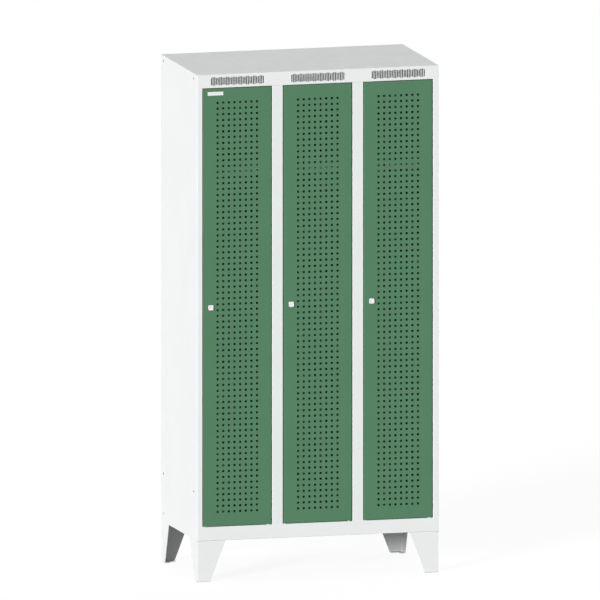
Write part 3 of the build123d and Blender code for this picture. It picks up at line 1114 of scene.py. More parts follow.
@dataclass(frozen=True)
class Plating(Finish):
    """Zinc or nickel on steel: fine lines along one axis, and crystals in the second colour."""

    gloss_swing: Span = (-0.06, 0.08)
    bump_depth: float = 0.02
    bump_strength: float = 0.25
    stretch: Point3 = (0.04, 1.0, 1.0)
    crystal: float = 0.5

    def dress(self, n: Nodes, shader: Node, place: Output) -> None:
        """Wires lines and crystals into colour, roughness and bump.

        Args:
            n: the material's nodes.
            shader: its shader.
            place: the object coordinates.
        """
        streak = ShaderGroup.STREAK.into(n, position=place, stretch=self.stretch)
        share = n.calc("MULTIPLY", streak["Crystal"], self.crystal)
        n.wire(shader, {"Base Color": n.mix(share, self.colour, self.second), "Metallic": 1.0,
                        "Roughness": self.rough(n, streak["Line"]),
                        "Normal": self.relief(n, streak["Line"])})


@dataclass(frozen=True)
class Moulding(Finish):
    """Moulded plastic, a painted casting or rubber: a fine spark-eroded texture."""

    gloss_swing: Span = (-0.05, 0.06)
    texture: float = 1800.0

    def dress(self, n: Nodes, shader: Node, place: Output) -> None:
        """Wires the fine texture into colour, roughness and bump.

        Args:
            n: the material's nodes.
            shader: its shader.
            place: the object coordinates.
        """
        grain = ShaderGroup.GRAIN.into(n, position=place, scale=self.texture)
        n.wire(shader, {"Base Color": n.mix(grain["Tone"], self.colour, self.second),
                        "Roughness": self.rough(n, grain["Gloss"]),
                        "Normal": self.relief(n, grain["Height"])})


WELD_START, WELD_PITCH = 45.0, 95.0
LEG_WEAR_TOP = 20.0
BODY_BOX = ((-LAYOUT.half, LAYOUT.front, LAYOUT.foot), (LAYOUT.half, LAYOUT.rear, LAYOUT.height))
BODY_COAT = PowderCoat("grey_powder_coat", "body_paint", (0.83, 0.842, 0.842, 1.0), 0.5,
                       second=(0.805, 0.82, 0.82, 1.0), rubbed=(0.62, 0.63, 0.63, 1.0),
                       low=BODY_BOX[0], high=BODY_BOX[1])
BACK_COAT = WeldedCoat(**vars(replace(BODY_COAT, name="grey_powder_coat_back")),
                       origin=(LAYOUT.walls()[1], 0.0, LAYOUT.sill + WELD_START),
                       pitch=(LAYOUT.module, LAYOUT.depth, WELD_PITCH))
# Painted shade: the middle stiles get a slightly darker copy of the body coat, tinted a little
# green, for the recessed stiles between the green doors.
FRAME_SHADED_COAT = replace(BODY_COAT, name="grey_powder_coat_frame", colour=(0.81, 0.828, 0.815, 1.0),
                     second=(0.785, 0.803, 0.79, 1.0), rubbed=(0.6, 0.6, 0.6, 1.0))
LEG_COAT = replace(BODY_COAT, name="grey_powder_coat_legs", second=(0.8, 0.815, 0.815, 1.0),
                   rubbed=(0.55, 0.56, 0.56, 1.0), reach=4.0,
                   low=(-LAYOUT.half + LAYOUT.leg_inset, LAYOUT.front + LAYOUT.leg_inset, 0.0),
                   high=(LAYOUT.half - LAYOUT.leg_inset, LAYOUT.rear - LAYOUT.leg_inset,
                         LAYOUT.foot + LEG_WEAR_TOP))
DOOR_COAT = PowderCoat("green_powder_coat", "door_paint", (0.073, 0.193, 0.102, 1.0), 0.48,
                       second=(0.068, 0.184, 0.096, 1.0), rubbed=(0.14, 0.28, 0.18, 1.0),
                       low=(LAYOUT.door_span(1)[0], LAYOUT.door_face, LAYOUT.door_rise[0]),
                       high=(LAYOUT.door_span(1)[1], LAYOUT.door_back, LAYOUT.door_rise[1]),
                       period=LAYOUT.module, wear=0.3, dust=0.06)
ZINC = Plating("bright_zinc", "zinc_plated_steel", (0.6, 0.62, 0.64, 1.0), 0.34,
               second=(0.72, 0.74, 0.75, 1.0))
ZINC_SMALL = Plating("bright_zinc_upright", "zinc_plated_steel", (0.58, 0.6, 0.61, 1.0), 0.36,
                     second=(0.7, 0.71, 0.72, 1.0), stretch=(1.0, 1.0, 0.05), crystal=0.3)
NICKEL = Plating("satin_nickel", "lock_plug", (0.86, 0.85, 0.83, 1.0), 0.3,
                 second=(0.91, 0.9, 0.885, 1.0), stretch=(1.0, 0.05, 1.0), crystal=0.1)
LOCK_GREY = Moulding("pale_lock_body", "lock_body", (0.85, 0.85, 0.845, 1.0), 0.38,
                     second=(0.82, 0.82, 0.815, 1.0))
NYLON = Moulding("natural_nylon", "nylon", (0.76, 0.76, 0.73, 1.0), 0.5,
                 second=(0.71, 0.71, 0.68, 1.0))
# Painted shade: a near-black copy of the nylon for the upper hinge bushes, which sit in the shaded
# gap above each door; the lower bushes keep the nylon's own colour.
NYLON_PAINTED_SHADE = Moulding("nylon_painted_shade", "nylon", (0.03, 0.03, 0.032, 1.0), 0.5,
                       second=(0.022, 0.022, 0.024, 1.0))
RUBBER = Moulding("black_rubber", "soft_pad", (0.028, 0.028, 0.03, 1.0), 0.78,
                  second=(0.02, 0.02, 0.022, 1.0), texture=1200.0, bump_depth=0.05)
HOOK_BLACK = Moulding("black_hook_plastic", "hook_plastic", (0.022, 0.022, 0.024, 1.0), 0.4,
                      second=(0.016, 0.016, 0.018, 1.0))
PLATE_WHITE = Moulding("white_plate", "plate", (0.84, 0.85, 0.85, 1.0), 0.42,
                       second=(0.81, 0.82, 0.82, 1.0))


# Pieces


def dress(piece: Piece, finish: Finish, body: str, *nodes: str, rounding: float = 0.0,
          steps: int = 2) -> None:
    """Smooths a piece and gives it its finish, its body and the CAD nodes that it stands for.

    Args:
        piece: the object.
        finish: its finish.
        body: the CAD body that it moves with.
        nodes: the CAD nodes that it replaces.
        rounding: the width of the rounding of its edges in millimetres, or 0 for none.
        steps: how many flats the rounding has.
    """
    smooth(piece, rounding, steps)
    piece.data.materials.clear()
    piece.data.materials.append(finish.material())
    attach(piece, body)
    if nodes:
        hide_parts(*nodes)
    faces = len(piece.data.polygons)
    log.info("%s: %d faces, %s, rides on %s", piece.name, faces, finish.name, body)


def keep(node: str, finish: Finish) -> None:
    """Gives a CAD node whose shape stays as it is a better material.

    Args:
        node: the CAD node.
        finish: its finish.
    """
    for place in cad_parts[node].material_slots:
        place.material = finish.material()
    log.info("%s: kept as it is, %s", node, finish.name)


def softened(node: str, finish: Finish, body: str, rounding: float, steps: int = 2) -> None:
    """Stands a copy with rounded edges in for a CAD node.

    Args:
        node: the CAD node.
        finish: the copy's finish.
        body: the body that it moves with.
        rounding: the width of the rounding in millimetres.
        steps: how many flats the rounding has.
    """
    look = copied_node(node, f"{node}_look")
    dress(look, finish, body, node, rounding=rounding, steps=steps)


@dataclass
class BodyShell:
    """The outer panels: sides with their front stiles, roof and back."""

    bend: float = 0.6
    weld_fold: float = 15.0
    strip_start: float = 3.0
    roof_rounding: float = 0.4
    hole_radius: float = 5.0
    holes: tuple[Point2, ...] = ((50.0, 1830.0), (470.0, 1830.0), (50.0, 325.0), (470.0, 325.0),
                                 (470.0, 181.0))

    def stile(self) -> Shell:
        """Bends the left front edge: side, stile and return, with a stop lip and a weld strip.

        Returns:
            The stile.
        """
        p = LAYOUT
        left, front, sheet, rise = -p.half, p.front, p.sheet, (p.foot, p.height - p.sheet)
        edge, fold = left + p.stile, front + self.weld_fold
        path = [(left, fold), (left, front), (edge, front), (edge, p.lip_back)]
        lips = (p.lip_front, p.lip_back + p.seam_lap)
        shell = Shell().draw(bent_sheet(path, sheet, self.bend), Axis.Z, rise)
        shell.box((edge - sheet, edge + p.lip), lips, (p.sill, p.lintel))
        return shell.box((left + sheet, left + 2 * sheet), (front + self.strip_start, fold), rise)

    def side_sheet(self, side: Side) -> Piece:
        """Makes the pierced flat sheet of one side, behind the bend at its front.

        Args:
            side: the side of the locker.

        Returns:
            The sheet as a piece without a finish.
        """
        p = LAYOUT
        width, height = p.depth - self.weld_fold, p.height - p.sheet - p.foot
        centre = (self.weld_fold + width / 2, p.foot + height / 2)
        points = [(y - centre[0], z - centre[1], 0.0) for y, z in self.holes]
        piece = punch_tool().make(f"side_sheet_{side.word}", BODY_COAT, points, width=width,
                                  height=height, thickness=p.sheet, hole_radius=self.hole_radius)
        for vertex in piece.data.vertices:
            along, through, up = vertex.co
            outer = side.value * (p.half * MM + through)
            vertex.co = (outer, along + (p.front + centre[0]) * MM, up + centre[1] * MM)
        turned_outwards(piece.data)
        return piece

    def build(self) -> None:
        """Makes the outer panels and dresses them."""
        p = LAYOUT
        for side in Side:
            dress(self.side_sheet(side), BODY_COAT, "cabinet", f"side_panel_{side.word}")
            stile = self.stile().mirrored(x=side is Side.RIGHT)
            dress(stile.piece(f"side_front_{side.word}"), BODY_COAT, "cabinet",
                  f"side_stile_{side.word}")
        roof = Shell().box((-p.half, p.half), (p.front, p.rear), (p.height - p.sheet, p.height))
        dress(roof.piece("roof_sheet"), BODY_COAT, "cabinet", "roof_panel",
              rounding=self.roof_rounding)
        keep("back_panel", BACK_COAT)
        keep("floor_panel", BODY_COAT)


@dataclass
class FrontFrame:
    """The band with vents above the doors, the rail below them and the stiles between them."""

    slots: int = 32
    slot_pitch: float = 6.25
    slot_width: float = 4.0
    slot_long: float = 31.0
    slot_short: float = 26.0
    slot_drop: float = 0.6
    bend: float = 0.6
    bend_margin: float = 2.0
    roof_fold: float = 15.0
    foot_fold: float = 30.0
    lip_gap: float = 0.5
    weld_lap: float = 1.6

    @property
    def span(self) -> Span:
        """From stile to stile, lapped over the round of their edges as the flush weld there is."""
        reach = LAYOUT.half - LAYOUT.stile + self.weld_lap
        return -reach, reach

    def folded(self, path: Sequence[Point2], shell: Shell) -> Shell:
        """Adds a sheet from stile to stile, bent along a path that has the sheet on its right."""
        return shell.draw(bent_sheet(path[::-1], LAYOUT.sheet, self.bend), Axis.X, self.span)

    def lips(self, shell: Shell, rise: Span) -> Shell:
        """Adds the stop lips behind one end of each door.

        Args:
            shell: the shell to add to.
            rise: their lower and upper edge.

        Returns:
            The same shell.
        """
        inset = LAYOUT.stile + LAYOUT.lip + self.lip_gap
        for x in LAYOUT.walls()[:-1]:
            shell.box((x + inset, x + LAYOUT.module - inset),
                      (LAYOUT.lip_front, LAYOUT.lip_back), rise)
        return shell

    def fascia_folds(self) -> Shell:
        """Bends the lower and upper edges of the band and adds its stop lips.

        Returns:
            The edges.
        """
        p, margin = LAYOUT, self.bend_margin
        top = p.height - p.sheet
        shell = self.folded([(p.lip_back, p.lintel), (p.front, p.lintel),
                             (p.front, p.lintel + margin)], Shell())
        self.folded([(p.front, top - margin), (p.front, top),
                     (p.front + self.roof_fold, top)], shell)
        return self.lips(shell, (p.lintel - p.lip, p.lintel + p.seam_lap))

    def fascia_sheet(self) -> Piece:
        """Makes the band's flat sheet with three fields of vent slots.

        Returns:
            The sheet as a piece without a finish.
        """
        p = LAYOUT
        low, high = p.lintel + self.bend_margin, p.height - p.sheet - self.bend_margin
        middle = (low + high) / 2
        drop = middle - (p.lintel + p.height) / 2 + self.slot_drop
        return vent_tool().make(
            "fascia_sheet", BODY_COAT, width=self.span[1] - self.span[0], height=high - low,
            thickness=p.sheet, slot_width=self.slot_width, slot_long=self.slot_long,
            slot_short=self.slot_short, slot_pitch=self.slot_pitch, slot_drop=drop,
            slots=self.slots, fields=p.count, field_pitch=p.module,
            place=(0.0, p.front + p.sheet, middle))

    def rail(self) -> Shell:
        """Bends the rail below the doors: a face with a fold at its top and bottom, and stop lips.

        Returns:
            The rail.
        """
        p = LAYOUT
        shell = self.folded([(p.front + self.foot_fold, p.foot), (p.front, p.foot),
                             (p.front, p.sill), (p.lip_back, p.sill)], Shell())
        return self.lips(shell, (p.sill - p.seam_lap, p.sill + p.lip))

    def mid_stile(self, x: float) -> Shell:
        """Bends a hat channel between two doors.

        Args:
            x: the plane between the two compartments.

        Returns:
            The channel as one bent sheet.
        """
        p = LAYOUT
        face = p.front + p.stile_recess
        half, reach = p.stile, p.stile + p.lip
        path = [(x - reach, p.lip_front), (x - half, p.lip_front), (x - half, face),
                (x + half, face), (x + half, p.lip_front), (x + reach, p.lip_front)]
        return Shell().draw(bent_sheet(path, p.sheet, self.bend), Axis.Z, (p.sill, p.lintel))

    def build(self) -> None:
        """Makes the front frame and dresses it."""
        dress(self.fascia_sheet(), BODY_COAT, "cabinet", "front_fascia")
        dress(self.fascia_folds().piece("fascia_folds"), BODY_COAT, "cabinet", "front_fascia")
        dress(self.rail().piece("lower_rail"), BODY_COAT, "cabinet", "bottom_rail")
        for number, x in enumerate(LAYOUT.walls()[1:-1], start=1):
            stile = self.mid_stile(x).piece(f"middle_stile_{number}")
            # the darker coat on these recessed stiles is painted shade
            dress(stile, FRAME_SHADED_COAT, "cabinet", f"mid_stile_{number}")


@dataclass
class Legs:
    """Four legs, each a tapered sheet bent round the corner with folded feet."""

    top: float = 106.0
    foot: float = 49.0
    flank_top: float = 100.0
    flank_foot: float = 43.0
    fold: float = 20.0
    flange: float = 30.0
    bend: float = 1.5
    edge_round: float = 1.0
    relief: float = 4.0
    bend_steps: int = 6
    fold_steps: int = 5

    def corner(self) -> Point2:
        """The leg's outer corner at the left front."""
        return -LAYOUT.half + LAYOUT.leg_inset, LAYOUT.front + LAYOUT.leg_inset

    def width(self, z: float, flank: bool) -> float:
        """How far the front face, or the flank, reaches from the locker's corner at a height."""
        top, foot = (self.flank_top, self.flank_foot) if flank else (self.top, self.foot)
        return foot + (top - foot) * z / LAYOUT.foot

    def section(self, z: float) -> list[Pair3]:
        """Bends the leg's section at a height.

        Args:
            z: the height.

        Returns:
            Its pairs of points.
        """
        x, y = self.corner()
        path = [(x, LAYOUT.front + self.width(z, True)), (x, y),
                (-LAYOUT.half + self.width(z, False), y)]
        pairs = bent_sheet(path, LAYOUT.leg_sheet, self.bend, self.bend_steps, self.edge_round)
        return [((*a, z), (*b, z)) for a, b in pairs]

    def fold_strip(self, along_x: bool, upper: bool) -> Shell:
        """Bends a fold at the foot or the top of one face, cut at 45 degrees towards the corner.

        Args:
            along_x: whether it belongs to the front face, and not to the side face.
            upper: whether it is the fold at the top, and not the one at the foot.

        Returns:
            The fold.
        """
        x, y = self.corner()
        height, level = LAYOUT.foot, self.bend + LAYOUT.leg_sheet
        path = [(0.0, level), (0.0, 0.0), (self.fold, 0.0)]
        if upper:
            path = [(self.flange - LAYOUT.leg_inset, height), (0.0, height), (0.0, height - level)]
        ends: tuple[list[Pair3], list[Pair3]] = ([], [])
        for pair in bent_sheet(path, LAYOUT.leg_sheet, self.bend, self.fold_steps):
            near, far = [], []
            for inward, up in pair:
                for row, along in ((near, self.relief + inward),
                                   (far, self.width(up, not along_x) - LAYOUT.leg_inset)):
                    row.append((x + along, y + inward, up) if along_x
                               else (x + inward, y + along, up))
            ends[0].append(tuple(near))
            ends[1].append(tuple(far))
        return Shell().loft(*ends)

    def shell(self) -> Shell:
        """Puts the left front leg together.

        Returns:
            The leg.
        """
        x, y = self.corner()
        height, sheet = LAYOUT.foot, LAYOUT.leg_sheet
        level, reach = self.bend + sheet, self.flange - LAYOUT.leg_inset
        whole = Shell().loft(self.section(level), self.section(height - level))
        for along_x in (True, False):
            for upper in (False, True):
                strip = self.fold_strip(along_x, upper)
                whole.add(strip.points, strip.faces)
        return whole.box((x + level, x + reach), (y + level, y + reach), (height - sheet, height))

    def build(self) -> None:
        """Makes the four legs, each a mirror image of the first."""
        middle = (LAYOUT.front + LAYOUT.rear) / 2
        for end, plane in (("front", None), ("back", middle)):
            for side in Side:
                name = f"leg_{end}_{side.word}"
                shell = self.shell().mirrored(x=side is Side.RIGHT, y=plane)
                dress(shell.piece(f"{name}_look"), LEG_COAT, "cabinet", name)


@dataclass
class Fasteners:
    """The bolts and nuts that hold the legs."""

    out: float = 75.0
    inward: float = 17.0
    flats: float = 13.0
    head: float = 5.3
    nut: float = 6.5
    shank: float = 4.0
    play: float = 0.15
    length: float = 14.0
    sink: float = 0.5

    def places(self) -> list[Point2]:
        """Finds the eight places of the leg bolts.

        Returns:
            Their X and Y.
        """
        p = LAYOUT
        near = [(p.half - self.out, p.front + self.inward),
                (p.half - self.inward, p.front + self.out)]
        across = [(side.value * x, y) for side in Side for x, y in near]
        return across + [(x, p.front + p.rear - y) for x, y in across]

    def build(self) -> None:
        """Makes all bolts as one piece and all nuts as another."""
        p = LAYOUT
        for name, level, height, radius in (
                ("leg_bolts", p.foot - p.leg_sheet - self.head, self.head, self.shank),
                ("leg_nuts", p.foot + p.sheet, self.nut, self.shank + self.play)):
            points = [(x, y, level) for x, y in self.places()]
            piece = hexagon_tool(name == "leg_nuts").make(
                f"{name}_look", ZINC_SMALL, points, flats=self.flats, height=height,
                shank_radius=radius, shank_length=self.length + self.sink, shank_sink=self.sink)
            dress(piece, ZINC_SMALL, "cabinet", name)


@dataclass
class Doors:
    """Perforated doors with folded edges, a stiffener each, and a blank plate on the first."""

    bend: float = 1.0
    bend_steps: int = 5
    face_inset: float = 3.0
    back_strip: float = 3.0
    lip: float = 12.0
    hole: float = 8.0
    hole_corner: float = 0.8
    pitch: float = 21.0
    columns: int = 8
    rows: int = 72
    lock_hole: float = 8.15
    crown: float = 14.0
    crown_foot: float = 7.0
    crown_depth: float = 12.0
    crown_end: float = 40.0
    crown_bend: float = 0.4
    bush_flange: float = 6.5
    bush_rounding: float = 0.25
    plate_gap: float = 0.3
    plate_rounding: float = 0.25

    def sheet(self, number: int) -> Piece:
        """Makes the flat perforated face of a door, inside its bent edges.

        Args:
            number: the door's number.

        Returns:
            The face as a piece without a finish.
        """
        p = LAYOUT
        x, z = p.door_span(number), p.door_rise
        middle = (sum(x) / 2, sum(z) / 2)
        return perforation_tool().make(
            f"door_face_{number}", DOOR_COAT, width=x[1] - x[0] - 2 * self.face_inset,
            height=z[1] - z[0] - 2 * self.face_inset, thickness=p.sheet, hole=self.hole,
            hole_corner=self.hole_corner, pitch=self.pitch, columns=self.columns, rows=self.rows,
            lock_radius=self.lock_hole,
            lock_place=(x[0] + p.lock_inset - middle[0], p.middle - middle[1], 0.0),
            place=(middle[0], p.door_face + p.sheet, middle[1]))

    def edges(self, number: int) -> Shell:
        """Bends the edges round a door's face, and the lips folded in at its sides.

        Args:
            number: the door's number.

        Returns:
            The edges.
        """
        p = LAYOUT
        (left, right), (low, high) = p.door_span(number), p.door_rise
        turn = p.door_back - self.back_strip
        path = [(0.0, turn), (0.0, p.door_face), (self.face_inset, p.door_face)]
        pairs = bent_sheet(path, p.sheet, self.bend, self.bend_steps)
        ring = [a for a, _ in pairs] + [b for _, b in reversed(pairs)]
        shell = Shell().skin([[(left + a, y, low + a), (right - a, y, low + a),
                               (right - a, y, high - a), (left + a, y, high - a)] for a, y in ring])
        for back in ([(left + self.lip, p.door_back), (left, p.door_back), (left, turn)],
                     [(right, turn), (right, p.door_back), (right - self.lip, p.door_back)]):
            lip = bent_sheet(back, p.sheet, self.bend, self.bend_steps)
            shell.draw(lip, Axis.Z, (low, high))
        for rise in ((low, low + p.sheet), (high - p.sheet, high)):
            shell.box((left + p.sheet, right - p.sheet), (turn, p.door_back), rise)
        return shell

    def stiffener(self, number: int) -> Shell:
        """Bends the hat channel behind the plain margin at the hinge side.

        Args:
            number: the door's number.

        Returns:
            The channel.
        """
        p = LAYOUT
        x, z = p.door_span(number), p.door_rise
        width = self.crown + 2 * self.crown_foot
        start = x[1] - p.hinge_inset - self.bush_flange - self.plate_gap - width
        seat = p.door_face + p.sheet
        top = seat + self.crown_depth - p.sheet
        a, b = start + self.crown_foot + p.sheet, start + self.crown_foot + self.crown - p.sheet
        path = [(start, seat), (a, seat), (a, top), (b, top), (b, seat), (start + width, seat)]
        return Shell().draw(bent_sheet(path, p.sheet, self.crown_bend), Axis.Z,
                            (z[0] + self.crown_end, z[1] - self.crown_end))

    def bush(self, number: int, finish: Finish, end: str) -> None:
        """Dresses one of a door's two hinge bushes, a copy of the CAD node without the other one.

        Args:
            number: the door's number.
            finish: the bush's finish.
            end: lower or upper.
        """
        node = f"hinge_bushes_{number}"
        piece = copied_node(node, f"hinge_bush_{end}_{number}")
        with opened(piece.data) as work:
            other = [v for v in work.verts if (v.co.z > LAYOUT.middle * MM) != (end == "upper")]
            bmesh.ops.delete(work, geom=other, context="VERTS")
        dress(piece, finish, f"door_{number}", node, rounding=self.bush_rounding)

    def build(self) -> None:
        """Makes the doors and dresses them."""
        for number in LAYOUT.numbers:
            body, leaf = f"door_{number}", f"door_leaf_{number}"
            dress(self.sheet(number), DOOR_COAT, body, leaf)
            dress(self.edges(number).piece(f"door_edges_{number}"), DOOR_COAT, body, leaf)
            brace = self.stiffener(number).piece(f"door_brace_{number}")
            dress(brace, DOOR_COAT, body, f"door_stiffener_{number}")
            self.bush(number, NYLON, "lower")
            # the upper bush's near-black nylon is painted shade
            self.bush(number, NYLON_PAINTED_SHADE, "upper")
        softened("name_plate", PLATE_WHITE, "door_1", self.plate_rounding, 3)


@dataclass
class Locks:
    """Cam locks: rosette with a threaded barrel, nut, plug, cam and screw."""

    width: float = 19.0
    height: float = 19.5
    corner: float = 4.5
    depth: float = 5.0
    rounding: float = 1.2
    rounding_steps: int = 4
    bore: float = 6.05
    bore_chamfer: float = 0.4
    groove: Point3 = (1.1, 1.4, 1.7)
    groove_depth: float = 0.25
    barrel: float = 8.0
    barrel_back: float = -222.534
    barrel_chamfer: float = 0.5
    thread: float = 1.5
    thread_depth: float = 0.35
    steps: int = 64
    seal: float = 0.9
    seal_lap: float = 0.3
    sink: float = 0.6
    key_slot: Point2 = (1.8, 7.0)
    shutter_drop: float = 0.7
    shutter_depth: float = 0.8
    shutter_lap: float = 0.2
    shutter_rounding: float = 0.15

    def reach(self, angle: float, inset: float) -> float:
        """Finds how far the rosette's outline is from its middle.

        Args:
            angle: the direction in radians.
            inset: how far inside the outline to stay.

        Returns:
            The distance.
        """
        c, s = abs(math.cos(angle)), abs(math.sin(angle))
        half_x, half_z = self.width / 2 - inset, self.height / 2 - inset
        corner = self.corner - inset
        flat_x, flat_z = half_x - corner, half_z - corner
        if half_x * s <= flat_z * c:
            return half_x / c
        if half_z * c <= flat_x * s:
            return half_z / s
        along = flat_x * c + flat_z * s
        return along + math.sqrt(along * along - flat_x ** 2 - flat_z ** 2 + corner ** 2)

    def skin(self, x: float, stations: Sequence[tuple[str, float, float]]) -> Shell:
        """Lays a closed skin through outlines round the lock's axis.

        Args:
            x: where the lock is.
            stations: for each outline its form, round or square, its radius or inset, and its
                depth.

        Returns:
            The skin, which meets itself again behind the last outline.
        """
        rows = []
        for form, size, at in stations:
            row = []
            for i in range(self.steps):
                angle = math.tau * (i + 0.5) / self.steps
                reach = size if form == "round" else self.reach(angle, size)
                row.append((x + reach * math.cos(angle), at,
                            LAYOUT.middle + reach * math.sin(angle)))
            rows.append(row)
        return Shell().skin(rows)

    def seal_ring(self, x: float) -> Shell:
        """Lays the dark rubber seal that shows as a thin line round the rosette.

        Args:
            x: where the lock is.

        Returns:
            The seal.
        """
        face, seal = LAYOUT.door_face, self.seal
        outline = ((self.seal_lap, 0.0), (self.seal_lap, seal), (-seal / 2, seal),
                   (-seal, seal / 2), (-seal, 0.0))
        return self.skin(x, [("square", inset, face - proud) for inset, proud in outline])

    def shutter(self, x: float) -> Shell:
        """Makes the spring shutter that closes the key slot just behind the plug's face.

        Args:
            x: where the lock is.

        Returns:
            The shutter.
        """
        start = LAYOUT.door_face - self.depth + self.sink + self.shutter_drop
        wide, tall = (size / 2 + self.shutter_lap for size in self.key_slot)
        return Shell().box((x - wide, x + wide), (start, start + self.shutter_depth),
                           (LAYOUT.middle - tall, LAYOUT.middle + tall))

    def housing(self, x: float) -> Shell:
        """Lays the rosette and barrel as one closed skin round the bore.

        Args:
            x: where the lock is.

        Returns:
            The housing.
        """
        back, end, bore, barrel = LAYOUT.door_face, self.barrel_back, self.bore, self.barrel
        face = back - self.depth
        inner, deep, outer = self.groove
        round_ones = [(bore, face + self.bore_chamfer), (bore + self.bore_chamfer, face),
                      (bore + inner, face), (bore + deep, face + self.groove_depth),
                      (bore + outer, face)]
        stations = [("round", *one) for one in round_ones]
        for step in range(self.rounding_steps + 1):
            angle = math.pi / 2 * step / self.rounding_steps
            stations.append(("square", self.rounding * (1 - math.sin(angle)),
                             face + self.rounding * (1 - math.cos(angle))))
        stations += [("square", 0.0, back), ("round", barrel, back)]
        y = back + self.thread
        while y < end - 2 * self.thread:
            stations += [("round", barrel, y),
                         ("round", barrel - self.thread_depth, y + self.thread / 2)]
            y += self.thread
        chamfer = self.barrel_chamfer
        stations += [("round", barrel, y), ("round", barrel, end - chamfer),
                     ("round", barrel - chamfer, end), ("round", bore, end)]
        return self.skin(x, stations)

    def build(self) -> None:
        """Makes the locks and dresses them."""
        for number in LAYOUT.numbers:
            door, lock = f"door_{number}", f"lock_{number}"
            x = LAYOUT.door_span(number)[0] + LAYOUT.lock_inset
            housing = self.housing(x).piece(f"lock_body_{number}")
            dress(housing, LOCK_GREY, door, f"lock_housing_{number}")
            dress(self.seal_ring(x).piece(f"lock_seal_{number}"), RUBBER, door)
            shutter = self.shutter(x).piece(f"key_shutter_{number}")
            dress(shutter, NICKEL, lock, rounding=self.shutter_rounding)
            for node, finish, body, rounding, steps in (
                    ("lock_nut", ZINC_SMALL, door, 0.4, 2), ("lock_plug", NICKEL, lock, 0.25, 2),
                    ("lock_cam", ZINC, lock, 0.3, 2), ("cam_screw", ZINC_SMALL, lock, 0.5, 3)):
                softened(f"{node}_{number}", finish, body, rounding, steps)


@dataclass
class Interior:
    """What the doors hide: shelves, clothes rails with cups and sliding hooks, and pads."""

    tube_radius: float = 8.0
    tube_wall: float = 1.2
    tube_chamfer: float = 0.3
    tube_steps: int = 40
    hook_rounding: float = 0.9
    shelf_rounding: float = 0.4

    def rail(self, number: int) -> Shell:
        """Makes the tube under a shelf, in the place of the CAD's, with its outer ends chamfered.

        Args:
            number: the compartment's number.

        Returns:
            The tube.
        """
        low, high = (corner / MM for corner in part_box(f"clothes_rail_{number}"))
        start, end, middle = low[0], high[0], ((low[1] + high[1]) / 2, (low[2] + high[2]) / 2)
        outer, cut = self.tube_radius, self.tube_chamfer
        inner = outer - self.tube_wall
        rows = []
        for radius, x in ((outer, start + cut), (outer, end - cut), (outer - cut, end),
                          (inner, end), (inner, start), (outer - cut, start)):
            arms = [turned((radius, 0.0), math.tau * i / self.tube_steps)
                    for i in range(self.tube_steps)]
            rows.append([(x, middle[0] + arm[0], middle[1] + arm[1]) for arm in arms])
        return Shell().skin(rows)

    def build(self) -> None:
        """Makes the pieces inside and dresses them."""
        for number in LAYOUT.numbers:
            softened(f"hat_shelf_{number}", BODY_COAT, "cabinet", self.shelf_rounding)
            rail = self.rail(number).piece(f"rail_tube_{number}")
            dress(rail, ZINC, "cabinet", f"clothes_rail_{number}")
            for side in Side:
                hook = f"coat_hook_{number}_{side.word}"
                softened(hook, HOOK_BLACK, hook, self.hook_rounding, 3)
        for number in LAYOUT.numbers[:-1]:
            keep(f"partition_{number}", BODY_COAT)
        for node, finish, rounding, steps in (
                ("rail_sockets", ZINC_SMALL, 0.3, 2), ("hinge_pins", ZINC_SMALL, 0.4, 2),
                ("stop_pads", RUBBER, 0.5, 3), ("sill_pads", NYLON, 0.2, 2)):
            softened(node, finish, "cabinet", rounding, steps)


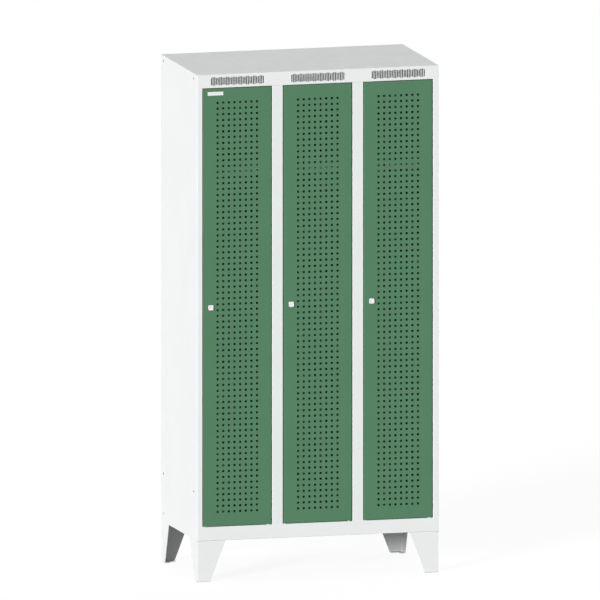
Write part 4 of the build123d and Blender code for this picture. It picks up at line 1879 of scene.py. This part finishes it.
@dataclass
class Studio:
    """The floor, the soft light and the camera."""

    azimuth: float = -15.0
    elevation: float = 9.0
    target: Point3 = (0.35, 2.0, 973.4)
    width: float = 2161.0
    distance: float = 6000.0
    clip_end: float = 50000.0
    ambient: float = 0.345
    lamps: tuple[tuple[str, Point3, float, float], ...] = (
        ("key", (-0.735, -0.65, 0.215), 1.095, 14.0), ("fill", (0.72, 0.66, 0.03), 1.0, 30.0))
    bounces: int = 2
    floor_reach: float = 30000.0
    floor_tones: tuple[Colour, Colour] = ((0.33, 0.33, 0.33, 1.0), (0.36, 0.36, 0.36, 1.0))
    floor_seen: Colour = (0.16, 0.16, 0.16, 1.0)
    floor_glow: float = 0.895
    white: Colour = (1.0, 1.0, 1.0, 1.0)

    def camera(self) -> None:
        """Sets a parallel camera at the photograph's angle."""
        a, e = math.radians(self.azimuth), math.radians(self.elevation)
        back = Vector((math.sin(a) * math.cos(e), -math.cos(a) * math.cos(e), math.sin(e)))
        lens = bpy.data.cameras.new("camera")
        lens.type = "ORTHO"
        lens.ortho_scale = self.width * MM
        lens.clip_end = self.clip_end * MM
        made = object_of(lens, "camera", back)
        made.location = Vector(self.target) * MM + back * self.distance * MM
        bpy.context.scene.camera = made

    def light(self) -> None:
        """Adds the soft suns: each with its direction, its strength and its width in degrees."""
        for name, towards, strength, angle in self.lamps:
            sun = bpy.data.lights.new(name, "SUN")
            sun.energy = strength * math.pi
            sun.angle = math.radians(angle)
            sun.cycles.max_bounces = self.bounces
            object_of(sun, name, Vector(towards))

    def seen(self, n: Nodes) -> Output:
        """Tells rays from the camera, a mirror or glass from those of the light.

        Args:
            n: the nodes of the material or the world.

        Returns:
            1 for what is seen, and 0 for light.
        """
        ray = n.add("ShaderNodeLightPath", {}).outputs
        either = n.calc("MAXIMUM", ray["Is Camera Ray"], ray["Is Glossy Ray"])
        return n.calc("MAXIMUM", either, ray["Is Transmission Ray"])

    def world(self) -> None:
        """Makes a white surround that lights the scene softly."""
        made = bpy.data.worlds.new("surround")
        made.use_nodes = True
        made.cycles.max_bounces = self.bounces
        bpy.context.scene.world = made
        n = Nodes(made.node_tree)
        strength = n.ramp(self.seen(n), 0.0, 1.0, self.ambient, 1.0)
        n.wire(made.node_tree.nodes["Background"], {"Color": self.white, "Strength": strength})

    def floor(self) -> None:
        """Makes a pale floor that shows white and keeps the locker's shadow."""
        reach = self.floor_reach
        corners = [(-reach, -reach, 0), (reach, -reach, 0), (reach, reach, 0), (-reach, reach, 0)]
        made = object_of(Shell().add(corners, [(0, 1, 2, 3)]).mesh("floor"), "floor")
        paint = bpy.data.materials.new("pale_floor")
        paint.use_nodes = True
        n = Nodes(paint.node_tree)
        seen = self.seen(n)
        place = n.add("ShaderNodeTexCoord", {}).outputs["Object"]
        bright = n.mix(n.noise(place, scale=2.0, detail=2.0), *self.floor_tones)
        n.wire(paint.node_tree.nodes["Principled BSDF"], {
            "Base Color": n.mix(seen, bright, self.floor_seen), "Roughness": 0.9,
            "Specular IOR Level": 0.0, "Emission Color": self.white,
            "Emission Strength": n.calc("MULTIPLY", seen, self.floor_glow)})
        made.data.materials.append(paint)

    def build(self) -> None:
        """Sets up the studio."""
        self.floor()
        self.world()
        self.light()
        self.camera()
        bpy.context.scene.view_settings.view_transform = "Standard"


def main() -> None:
    """Builds every sub-assembly in order, then the studio."""
    logging.basicConfig(level=logging.INFO, format="%(name)s: %(message)s")
    for assembly in (BodyShell(), FrontFrame(), Legs(), Fasteners(), Doors(), Locks(), Interior(),
                     Studio()):
        log.info("building %s", type(assembly).__name__)
        assembly.build()


if __name__ == "__main__":
    main()
